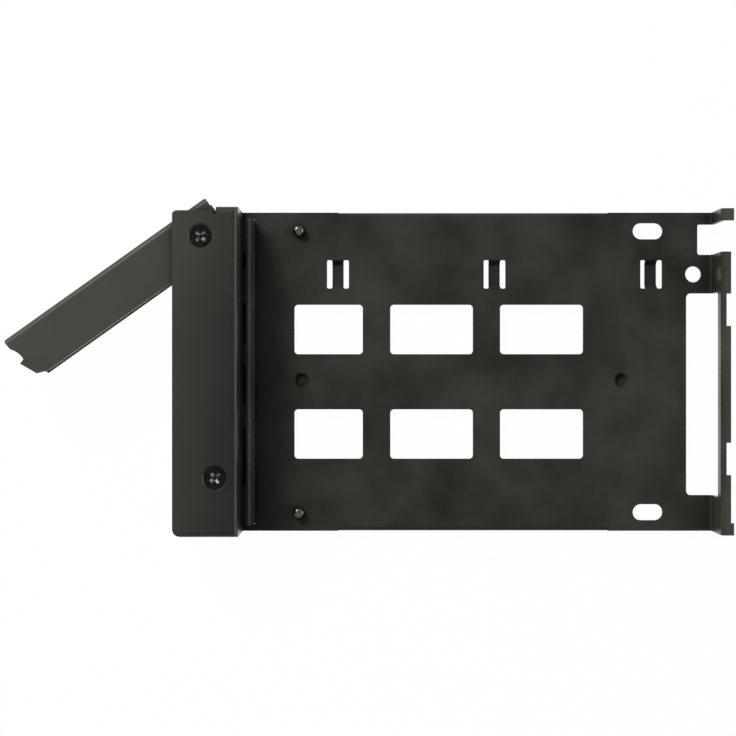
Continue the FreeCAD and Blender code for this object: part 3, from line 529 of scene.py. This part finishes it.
@shared("Turned steel")
def turned_steel(name):
    """Bare steel with fine marks round its Z axis and faint stains."""
    tree, inputs, end = new_group(
        name, "ShaderNodeTree",
        [("Base", "NodeSocketColor", (0.5, 0.5, 0.5, 1.0)),
         ("Roughness", "NodeSocketFloat", 0.3),
         ("Marks", "NodeSocketFloat", 0.2),
         ("Darkest stain", "NodeSocketFloat", 0.8)],
        [("Color", "NodeSocketColor"), ("Roughness", "NodeSocketFloat"),
         ("Height", "NodeSocketFloat")],
    )
    where = object_place(tree)
    stretch = add_node(tree, "ShaderNodeMapping", vector_type="POINT")
    feed(tree, stretch.inputs["Vector"], where)
    feed(tree, stretch.inputs["Scale"], MARK_SCALES)
    lines = noise_node(tree, stretch.outputs["Vector"], 1.0)
    stains = noise_node(tree, where, STAIN_SCALE)
    shade = range_node(tree, stains, *STAIN_BAND, inputs["Darkest stain"], PALEST_STAIN)
    feed(tree, end.inputs["Color"], vector_node(tree, "SCALE", inputs["Base"], shade))
    wobble = math_node(tree, "SUBTRACT", lines, 0.5)
    rough = math_node(tree, "MULTIPLY_ADD", wobble, inputs["Marks"], inputs["Roughness"],
                      clamp=True)
    feed(tree, end.inputs["Roughness"], rough)
    feed(tree, end.inputs["Height"], lines)
    return tree


@shared("Above a level")
def height_mask(name):
    """Mask that is one above a level and zero under it."""
    tree, inputs, end = new_group(
        name, "ShaderNodeTree",
        [("Level", "NodeSocketFloat", 0.0), ("Softness", "NodeSocketFloat", 0.00002)],
        [("Mask", "NodeSocketFloat")],
    )
    height = along_axes(tree, object_place(tree))["Z"]
    top = math_node(tree, "ADD", inputs["Level"], inputs["Softness"])
    low = math_node(tree, "SUBTRACT", inputs["Level"], inputs["Softness"])
    feed(tree, end.inputs["Mask"], range_node(tree, height, low, top))
    return tree


# ------------------------------------------------------------------ materials

# Depth of the coating's grain and of the steel's marks, in metres
GRAIN_DEPTH = 0.00004
MARK_DEPTH = 0.00002
# The coating's gloss comes from a clear outer skin, and hardly any from under it
UNDER_SPECULAR = 0.035
SATIN_INDEX = 1.14
GLOSSY_INDEX = 1.245

SMALL_PIECE_BLOTCHES = 0.1
RIVET_LIFT = 1.1
WIRE_ROUGHNESS = 0.24

# The pins' coat ends just above the tray's floor, where the bare dome begins
DOME_FOOT = 0.0002
DOME_FOOT_SOFTNESS = 0.0001
DOME_ROUGHNESS = 0.22

# How far under a screw's face the flanks of its driver recess begin and end; the flanks are
# painted bright, partly rubbed bare steel and partly painted glints
RECESS_TOP = 0.00008
RECESS_TOP_SOFTNESS = 0.00003
RECESS_FLOOR = 0.00076
RECESS_FLOOR_SOFTNESS = 0.00004
SCREW_ROUGHNESS = 0.34
RECESS_ROUGHNESS = 0.22


def empty_tree(holder):
    """Node tree of a material or a world, without its default nodes."""
    holder.use_nodes = True
    holder.node_tree.nodes.clear()
    return holder.node_tree


def blank_material(name):
    """New material that holds only a Principled shader and its output."""
    material = bpy.data.materials.new(name)
    tree = empty_tree(material)
    shader = add_node(tree, "ShaderNodeBsdfPrincipled", (300, 0))
    output = add_node(tree, "ShaderNodeOutputMaterial", (600, 0))
    feed(tree, output.inputs["Surface"], shader.outputs["BSDF"])
    return material, tree, shader


def use_effect(tree, group, values, place=(-300, 0)):
    """Places a shared effect with its own values."""
    effect = add_node(tree, "ShaderNodeGroup", place, node_tree=group)
    for key, value in values.items():
        feed(tree, effect.inputs[key], value)
    return effect.outputs


def use_coat(tree, finish, lift, blotches, zones=(), place=(-300, 0)):
    """Places the powder coat; a zone is its label, where it begins and ends, and its lift."""
    values = {
        "Base": opaque(finish.coat_colour, lift),
        "Roughness": finish.coat_roughness,
        "Grain": 1.0 / finish.coat_grain,
        "Blotch": 1.0 / finish.blotch_size,
        "Cloud": blotches,
        "Fold reach": finish.fold_shade_reach,
        "Fold dullness": finish.fold_shade_and_dullness,
        "Corner reach": finish.corner_reach,
        "Edge width": finish.edge_width,
        "Edge wear": finish.edge_wear_and_highlight,
        "Worn": opaque(finish.worn_and_highlight_colour),
    }
    for label, begins, ends, zone_lift in zones:
        values.update({label + " from": begins, label + " to": ends, label + " lift": zone_lift})
    return use_effect(tree, powder_coat(), values, place)


def use_steel(tree, colour, roughness, marks, darkest=0.8, place=(-300, 0)):
    """Places the turned steel with its own colour."""
    values = {"Base": opaque(colour), "Roughness": roughness, "Marks": marks,
              "Darkest stain": darkest}
    return use_effect(tree, turned_steel(), values, place)


def use_mask(tree, level, softness, place):
    """Places a mask that is one above a level."""
    return use_effect(tree, height_mask(), {"Level": level, "Softness": softness}, place)["Mask"]


def add_relief(tree, shader, height, strength, depth):
    """Bump on a shader, from a height that goes from zero to one."""
    bump = add_node(tree, "ShaderNodeBump", (100, -300))
    bump.inputs["Strength"].default_value = strength
    bump.inputs["Distance"].default_value = depth
    feed(tree, bump.inputs["Height"], height)
    feed(tree, shader.inputs["Normal"], bump.outputs["Normal"])


def coated(name, finish, lift, blotches, index=SATIN_INDEX, zones=()):
    """Material of one coated piece, whose outer skin is missing where corners shelter it."""
    material, tree, shader = blank_material(name)
    coat = use_coat(tree, finish, lift, blotches, zones)
    feed(tree, shader.inputs["Base Color"], coat["Color"])
    feed(tree, shader.inputs["Roughness"], coat["Roughness"])
    feed(tree, shader.inputs["Coat Weight"], coat["Shine"])
    shader.inputs["Specular IOR Level"].default_value = UNDER_SPECULAR
    shader.inputs["Coat IOR"].default_value = index
    shader.inputs["Coat Roughness"].default_value = finish.skin_roughness
    add_relief(tree, shader, coat["Height"], finish.coat_relief, GRAIN_DEPTH)
    return material


def bare_steel(name, colour, roughness):
    """Material of plain turned or drawn steel."""
    material, tree, shader = blank_material(name)
    steel = use_steel(tree, colour, roughness, marks=0.2)
    feed(tree, shader.inputs["Base Color"], steel["Color"])
    feed(tree, shader.inputs["Roughness"], steel["Roughness"])
    shader.inputs["Metallic"].default_value = 1.0
    add_relief(tree, shader, steel["Height"], strength=0.15, depth=MARK_DEPTH)
    return material


def pin_material(finish):
    """Bare dome over a shank that carries the tray's coat."""
    material, tree, shader = blank_material("pin_dome")
    coat = use_coat(tree, finish, 1.0, SMALL_PIECE_BLOTCHES, place=(-500, 200))
    steel = use_steel(tree, finish.pin_colour, DOME_ROUGHNESS, marks=0.1, place=(-500, -200))
    bare = use_mask(tree, DOME_FOOT, DOME_FOOT_SOFTNESS, (-500, -500))
    rougher = math_node(tree, "SUBTRACT", steel["Roughness"], coat["Roughness"])
    rough = math_node(tree, "MULTIPLY_ADD", rougher, bare, coat["Roughness"])
    feed(tree, shader.inputs["Base Color"],
         mix_colours(tree, bare, coat["Color"], steel["Color"]))
    feed(tree, shader.inputs["Roughness"], rough)
    feed(tree, shader.inputs["Metallic"], bare)
    shader.inputs["Specular IOR Level"].default_value = UNDER_SPECULAR
    add_relief(tree, shader, steel["Height"], strength=0.1, depth=MARK_DEPTH)
    return material


def screw_material(finish):
    """Blackened head whose driver recess is bright on its flanks, partly rubbed bare steel and
    partly painted glints.
    """
    material, tree, shader = blank_material("blackened_screw")
    dark = use_steel(tree, finish.screw_colour, SCREW_ROUGHNESS, marks=0.2, place=(-500, 200))
    bright = use_steel(tree, finish.recess_wear_and_glint_colour, RECESS_ROUGHNESS, marks=0.25, darkest=0.2,
                       place=(-500, -200))
    face = highest("latch_screw").z
    head = use_mask(tree, face - RECESS_TOP, RECESS_TOP_SOFTNESS, (-500, -500))
    flank = use_mask(tree, face - RECESS_FLOOR, RECESS_FLOOR_SOFTNESS, (-500, -700))
    # Painted glints: the recess flanks between these levels are bright, partly rubbed bare steel;
    # the recess floor keeps the dark head colour
    recess = mix_colours(tree, flank, dark["Color"], bright["Color"])
    feed(tree, shader.inputs["Base Color"], mix_colours(tree, head, recess, dark["Color"]))
    feed(tree, shader.inputs["Roughness"], dark["Roughness"])
    shader.inputs["Metallic"].default_value = 1.0
    add_relief(tree, shader, dark["Height"], strength=0.2, depth=MARK_DEPTH)
    return material


def paint(node, material):
    """Gives a CAD node one material."""
    mesh = NODES[node].data
    mesh.materials.clear()
    mesh.materials.append(material)


# ------------------------------------------------------------------ springs

POINTS_PER_TURN = 32
# Points of the wire's line that lie on a leg's end and not on the coil
LEG_ENDS = 2


@shared("Wound wire")
def wound_wire(name):
    """Round wire wound about Z, with optional straight legs that leave the coil.

    The first and the last point of the line are the legs' ends, and without legs they lie
    on the coil's own ends.
    """
    tree, inputs, end = new_group(
        name, "GeometryNodeTree",
        [("Geometry", "NodeSocketGeometry", None),
         ("Points", "NodeSocketInt", 96),
         ("Coil radius", "NodeSocketFloat", 0.003),
         ("Coil height", "NodeSocketFloat", 0.002),
         ("Start angle", "NodeSocketFloat", 0.0),
         ("Wound angle", "NodeSocketFloat", 6.0),
         ("Closed ends", "NodeSocketFloat", 0.0),
         ("Wire radius", "NodeSocketFloat", 0.0003),
         ("Wire sides", "NodeSocketInt", 12),
         ("Legs", "NodeSocketBool", False),
         ("First leg", "NodeSocketVector", (0.0, 0.0, 0.0)),
         ("Last leg", "NodeSocketVector", (0.0, 0.0, 0.0)),
         ("Material", "NodeSocketMaterial", None)],
        [("Geometry", "NodeSocketGeometry")],
    )
    line = add_node(tree, "GeometryNodeMeshLine")
    feed(tree, line.inputs["Count"], inputs["Points"])
    index = add_node(tree, "GeometryNodeInputIndex").outputs[0]
    coil_steps = math_node(tree, "SUBTRACT", inputs["Points"], LEG_ENDS + 1.0)
    along = math_node(tree, "DIVIDE", math_node(tree, "SUBTRACT", index, 1.0), coil_steps,
                      clamp=True)
    angle = math_node(tree, "MULTIPLY_ADD", along, inputs["Wound angle"], inputs["Start angle"])
    open_to = math_node(tree, "SUBTRACT", 1.0, inputs["Closed ends"])
    rise = add_node(tree, "ShaderNodeMapRange")
    for key, value in (("Value", along), ("From Min", inputs["Closed ends"]),
                       ("From Max", open_to)):
        feed(tree, rise.inputs[key], value)
    on_coil = add_node(tree, "ShaderNodeCombineXYZ")
    for key, share, size in (("X", math_node(tree, "COSINE", angle, 0.0), "Coil radius"),
                             ("Y", math_node(tree, "SINE", angle, 0.0), "Coil radius"),
                             ("Z", rise.outputs["Result"], "Coil height")):
        feed(tree, on_coil.inputs[key], math_node(tree, "MULTIPLY", share, inputs[size]))

    is_first = math_node(tree, "LESS_THAN", index, 0.5)
    before_last = math_node(tree, "SUBTRACT", inputs["Points"], 1.5)
    is_last = math_node(tree, "GREATER_THAN", index, before_last)
    shape = line.outputs["Mesh"]
    for chosen, position in ((None, on_coil.outputs[0]), (is_first, inputs["First leg"]),
                             (is_last, inputs["Last leg"])):
        move = add_node(tree, "GeometryNodeSetPosition")
        feed(tree, move.inputs["Geometry"], shape)
        feed(tree, move.inputs["Position"], position)
        if chosen:
            only_legs = math_node(tree, "MULTIPLY", chosen, inputs["Legs"])
            feed(tree, move.inputs["Selection"], only_legs)
        shape = move.outputs["Geometry"]

    path = add_node(tree, "GeometryNodeMeshToCurve")
    feed(tree, path.inputs["Mesh"], shape)
    ring = add_node(tree, "GeometryNodeCurvePrimitiveCircle")
    feed(tree, ring.inputs["Resolution"], inputs["Wire sides"])
    feed(tree, ring.inputs["Radius"], inputs["Wire radius"])
    tube = add_node(tree, "GeometryNodeCurveToMesh")
    feed(tree, tube.inputs["Curve"], path.outputs["Curve"])
    feed(tree, tube.inputs["Profile Curve"], ring.outputs["Curve"])
    feed(tree, tube.inputs["Fill Caps"], True)
    real = add_node(tree, "GeometryNodeRealizeInstances")
    feed(tree, real.inputs["Geometry"], tube.outputs["Mesh"])
    finish = add_node(tree, "GeometryNodeSetMaterial")
    feed(tree, finish.inputs["Geometry"], real.outputs["Geometry"])
    feed(tree, finish.inputs["Material"], inputs["Material"])
    feed(tree, end.inputs["Geometry"], finish.outputs["Geometry"])
    return tree


def baked(name, tree, values, placement):
    """Runs a geometry tree with the given inputs and keeps its result as a plain mesh."""
    piece = bpy.data.objects.new(name, bpy.data.meshes.new(name))
    bpy.context.scene.collection.objects.link(piece)
    modifier = piece.modifiers.new("shape", "NODES")
    modifier.node_group = tree
    sockets = {item.name: item.identifier for item in tree.interface.items_tree
               if item.in_out == "INPUT"}
    for key, value in values.items():
        modifier[sockets[key]] = value
    graph = bpy.context.evaluated_depsgraph_get()
    mesh = bpy.data.meshes.new_from_object(piece.evaluated_get(graph))
    piece.modifiers.remove(modifier)
    if not mesh.polygons:
        raise RuntimeError(name + " has no faces")
    mesh.transform(placement)
    mesh.shade_smooth()
    piece.data = mesh
    return piece


def tangent_angle(point, radius, side):
    """Angle on a circle where the tangent through an outside point touches it."""
    spread = math.acos(radius / point.length)
    return math.atan2(point.y, point.x) + side * spread


def wind_handle_spring(springs, wire_material):
    """Torsion spring round the pivot post, one leg on the back wall and one on the handle.

    Also gives the two points on the pivot between which the coil winds up.
    """
    low, high = lowest("handle_spring").z, highest("handle_spring").z
    wall_leg, arm_leg = Vector(springs.wall_leg), Vector(springs.arm_leg)
    radius, wire = springs.handle_coil, springs.handle_wire
    start_angle = tangent_angle(wall_leg, radius, 1)
    end_angle = tangent_angle(arm_leg, radius, -1)
    wound = springs.handle_turns * math.tau + (end_angle - start_angle) % math.tau
    wall_length, arm_length = (math.sqrt(leg.length_squared - radius**2)
                               for leg in (wall_leg, arm_leg))
    climb = (high - low - 2 * wire) / (wall_length + radius * wound + arm_length)
    coil_height = climb * radius * wound
    values = {
        "Points": POINTS_PER_TURN * (springs.handle_turns + 1) + LEG_ENDS,
        "Coil radius": radius,
        "Coil height": coil_height,
        "Start angle": start_angle,
        "Wound angle": wound,
        "Wire radius": wire,
        "Legs": True,
        "First leg": (wall_leg.x, wall_leg.y, -climb * wall_length),
        "Last leg": (arm_leg.x, arm_leg.y, climb * (radius * wound + arm_length)),
        "Material": wire_material,
    }
    x, y = JOINTS["handle_pivot"]["pos_m"][:2]
    start = low + wire + climb * wall_length
    piece = baked("handle_spring_wire", wound_wire(), values,
                  Matrix.Translation((x, y, start)))
    return piece, (x, y, start + wire), (x, y, start + coil_height - wire)


def wind_button_spring(springs, wire_material):
    """Compression spring between the button's pad and the back wall, its ends closed.

    Also gives the two points on its axis between which the coil closes up.
    """
    low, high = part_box("button_spring")
    centre = middle("button_spring")
    wire = springs.button_wire
    values = {
        "Points": POINTS_PER_TURN * int(springs.button_turns) + LEG_ENDS,
        "Coil radius": (high.y - low.y) / 2 - wire,
        "Coil height": high.x - low.x - 2 * wire,
        "Wound angle": springs.button_turns * math.tau,
        "Closed ends": springs.closed_ends,
        "Wire radius": wire,
        "Material": wire_material,
    }
    place = Matrix.Translation((low.x + wire, centre.y, centre.z))
    piece = baked("button_spring_wire", wound_wire(), values,
                  place @ Matrix.Rotation(math.pi / 2, 4, "Y"))
    return (piece, (high.x - 2 * wire, centre.y, centre.z),
            (low.x + 2 * wire, centre.y, centre.z))


# ------------------------------------------------------------------ pieces

# Depth of the tray's rear flange, where it fades in, and its share of the pale band lift
FLANGE_DEPTH = 0.0017
FLANGE_FADE = 0.0005
FLANGE_SHARE = 0.65
# How far the housing's ledge reaches to the rear of its cover
LEDGE_DEPTH = 0.0024
# Where along Y the housing begins to grow paler towards its pivot end
PIVOT_END_FROM = 0.002


class CADDY_OT_sheets(Operator):
    """Finish the tray, the housing and the handle."""

    bl_idname = "caddy.sheets"
    bl_label = "Folded sheets"

    def execute(self, context):
        finish = context.scene.caddy_finish
        flange_start = highest("tray").x - FLANGE_DEPTH
        # A share of the pale band lift makes the tray's rear flange paler
        tray_zones = (("Rubbed", flange_start - FLANGE_FADE, flange_start,
                       finish.rubbed_lift * FLANGE_SHARE),)
        low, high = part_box("front_housing")
        # Painted light: the housing's top is painted paler towards its front
        housing_zones = (("Rubbed", high.x - LEDGE_DEPTH, low.x, finish.rubbed_lift),
                         ("Handled", PIVOT_END_FROM, high.y, finish.handled_lift))
        paint("tray", coated("tray_coat", finish, 1.0, finish.tray_blotches, zones=tray_zones))
        paint("front_housing", coated("housing_coat", finish, finish.housing_lift,
                                      finish.housing_blotches, GLOSSY_INDEX, housing_zones))
        paint("handle", coated("handle_coat", finish, finish.handle_lift,
                               finish.handle_blotches))
        return {"FINISHED"}


class CADDY_OT_button(Operator):
    """Finish the release button."""

    bl_idname = "caddy.button"
    bl_label = "Release button"

    def execute(self, context):
        finish = context.scene.caddy_finish
        paint("release_button", coated("button_coat", finish, 1.0, SMALL_PIECE_BLOTCHES))
        return {"FINISHED"}


class CADDY_OT_fasteners(Operator):
    """Finish the screws, the posts, the washers, the pins and the rivets."""

    bl_idname = "caddy.fasteners"
    bl_label = "Fasteners"

    def execute(self, context):
        finish = context.scene.caddy_finish
        steel = bare_steel("turned_steel", finish.steel_colour, finish.steel_roughness)
        groups = (
            (screw_material(finish), ("pivot_screw", "latch_screw")),
            (steel, ("pivot_post", "latch_post", "handle_washer_upper", "handle_washer_lower",
                     "button_washer_upper", "button_washer_lower")),
            (pin_material(finish), ("drive_pin_left", "drive_pin_right")),
            (coated("rivet_coat", finish, RIVET_LIFT, SMALL_PIECE_BLOTCHES),
             ("housing_rivet_left", "housing_rivet_right")),
        )
        for material, nodes in groups:
            for node in nodes:
                paint(node, material)
        return {"FINISHED"}


class CADDY_OT_springs(Operator):
    """Wind the handle's and the button's springs."""

    bl_idname = "caddy.springs"
    bl_label = "Springs"

    def execute(self, context):
        finish = context.scene.caddy_finish
        springs = context.scene.caddy_springs
        wire = bare_steel("spring_wire", finish.steel_colour, WIRE_ROUGHNESS)
        for node, wind, moved_by in (("handle_spring", wind_handle_spring, "lever"),
                                     ("button_spring", wind_button_spring, "button")):
            paint(node, wire)
            piece, fixed_end, moving_end = wind(springs, wire)
            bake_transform(piece)
            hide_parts(node)
        return {"FINISHED"}


# ------------------------------------------------------------------ studio

WHITE = (1.0, 1.0, 1.0, 1.0)
FLOOR_COLOUR = (0.8, 0.8, 0.8, 1.0)
# Share of plain white in the floor as the camera sees it; the rest carries the shadow
FLOOR_WHITE = 0.985
# Half of the floor's side, in metres
FLOOR_HALF = 4.0
# Each lamp's name, place, width and depth in metres, and the setting that holds its power
LAMPS = (
    ("key_light", (-0.35, 0.378, 0.42), (0.224, 0.168), "key_power"),
    ("front_light", (-1.05, 0.10, 0.48), (0.9, 0.2), "front_power"),
    ("rear_light", (1.20, 0.10, 0.22), (0.9, 0.2), "rear_power"),
)
SENSOR_WIDTH_MM = 36.0
NEAR_CLIP = 0.01


def seen_rays(tree):
    """One for rays that look at a surface: from the camera, off gloss and through glass."""
    rays = add_node(tree, "ShaderNodeLightPath").outputs
    seen = math_node(tree, "ADD", rays["Is Camera Ray"], rays["Is Glossy Ray"])
    return math_node(tree, "ADD", seen, rays["Is Transmission Ray"], clamp=True)


def floor_material():
    """White floor that camera and metal see as white, and that keeps a faint shadow."""
    material = bpy.data.materials.new("studio_floor")
    tree = empty_tree(material)
    body = add_node(tree, "ShaderNodeBsdfDiffuse")
    body.inputs["Color"].default_value = FLOOR_COLOUR
    glow = add_node(tree, "ShaderNodeEmission")
    glow.inputs["Color"].default_value = WHITE
    mix = add_node(tree, "ShaderNodeMixShader")
    feed(tree, mix.inputs["Fac"], math_node(tree, "MULTIPLY", seen_rays(tree), FLOOR_WHITE))
    feed(tree, mix.inputs[1], body.outputs["BSDF"])
    feed(tree, mix.inputs[2], glow.outputs["Emission"])
    output = add_node(tree, "ShaderNodeOutputMaterial")
    feed(tree, output.inputs["Surface"], mix.outputs["Shader"])
    return material


def make_floor():
    """Large flat floor under the caddy."""
    low = CAD_BOX[0].z
    corners = [(FLOOR_HALF * x, FLOOR_HALF * y, low)
               for x, y in ((-1, -1), (1, -1), (1, 1), (-1, 1))]
    mesh = bpy.data.meshes.new("studio_floor")
    mesh.from_pydata(corners, [], [(0, 1, 2, 3)])
    mesh.materials.append(floor_material())
    floor = bpy.data.objects.new("studio_floor", mesh)
    bpy.context.scene.collection.objects.link(floor)


def make_world(strength):
    """Even light from all round, which camera, metal and glass see as white."""
    world = bpy.data.worlds.new("studio_world")
    tree = empty_tree(world)
    level = add_node(tree, "ShaderNodeMapRange")
    for key, value in (("Value", seen_rays(tree)), ("To Min", strength), ("To Max", 1.0)):
        feed(tree, level.inputs[key], value)
    background = add_node(tree, "ShaderNodeBackground")
    background.inputs["Color"].default_value = WHITE
    feed(tree, background.inputs["Strength"], level.outputs["Result"])
    output = add_node(tree, "ShaderNodeOutputWorld")
    feed(tree, output.inputs["Surface"], background.outputs["Background"])
    bpy.context.scene.world = world


def add_lamp(name, place, target, size, power):
    """Soft rectangular lamp, turned so that its -Z axis points at the target."""
    light = bpy.data.lights.new(name, "AREA")
    light.shape = "RECTANGLE"
    light.size, light.size_y = size
    light.energy = power
    lamp = bpy.data.objects.new(name, light)
    lamp.location = place
    lamp.rotation_euler = (target - lamp.location).to_track_quat("-Z", "Y").to_euler()
    bpy.context.scene.collection.objects.link(lamp)


def make_camera(studio):
    """Camera straight above the caddy, looking down."""
    lens = bpy.data.cameras.new("camera")
    lens.sensor_width = SENSOR_WIDTH_MM
    lens.lens = lens.sensor_width * studio.camera_place[2] / studio.field_width
    lens.clip_start = NEAR_CLIP
    camera = bpy.data.objects.new("camera", lens)
    camera.location = studio.camera_place
    bpy.context.scene.collection.objects.link(camera)
    bpy.context.scene.camera = camera


class CADDY_OT_stage(Operator):
    """Set up the floor, the lamps and the camera."""

    bl_idname = "caddy.stage"
    bl_label = "Studio"

    def execute(self, context):
        studio = context.scene.caddy_studio
        context.scene.view_settings.view_transform = "Standard"
        make_floor()
        make_world(studio.world_strength)
        centre = (CAD_BOX[0] + CAD_BOX[1]) / 2
        for name, place, size, power in LAMPS:
            add_lamp(name, place, centre, size, getattr(studio, power))
        make_camera(studio)
        return {"FINISHED"}


# ------------------------------------------------------------------ panel and registration

SETTINGS = (
    ("caddy_finish", FinishSettings),
    ("caddy_springs", SpringSettings),
    ("caddy_studio", StudioSettings),
)
OPERATORS = (
    CADDY_OT_sheets,
    CADDY_OT_button,
    CADDY_OT_fasteners,
    CADDY_OT_springs,
    CADDY_OT_stage,
)


class CADDY_PT_panel(Panel):
    """Sizes, finishes and steps of the drive caddy."""

    bl_idname = "CADDY_PT_panel"
    bl_label = "Drive caddy"
    bl_space_type = "VIEW_3D"
    bl_region_type = "UI"
    bl_category = "Caddy"

    def draw(self, context):
        for name, group in SETTINGS:
            settings = getattr(context.scene, name)
            column = self.layout.column()
            for key in group.__annotations__:
                column.prop(settings, key)
        for operator in OPERATORS:
            self.layout.operator(operator.bl_idname)


def register():
    """Adds the settings, the operators and the panel to Blender."""
    for name, group in SETTINGS:
        bpy.utils.register_class(group)
        setattr(bpy.types.Scene, name, PointerProperty(type=group))
    for operator in OPERATORS:
        bpy.utils.register_class(operator)
    bpy.utils.register_class(CADDY_PT_panel)


def unregister():
    """Takes them away again, in reverse order."""
    bpy.utils.unregister_class(CADDY_PT_panel)
    for operator in reversed(OPERATORS):
        bpy.utils.unregister_class(operator)
    for name, group in reversed(SETTINGS):
        delattr(bpy.types.Scene, name)
        bpy.utils.unregister_class(group)


def main():
    """Finishes the caddy piece by piece."""
    register()
    bpy.ops.caddy.sheets()
    bpy.ops.caddy.button()
    bpy.ops.caddy.fasteners()
    bpy.ops.caddy.springs()
    bpy.ops.caddy.stage()


if __name__ == "__main__":
    main()
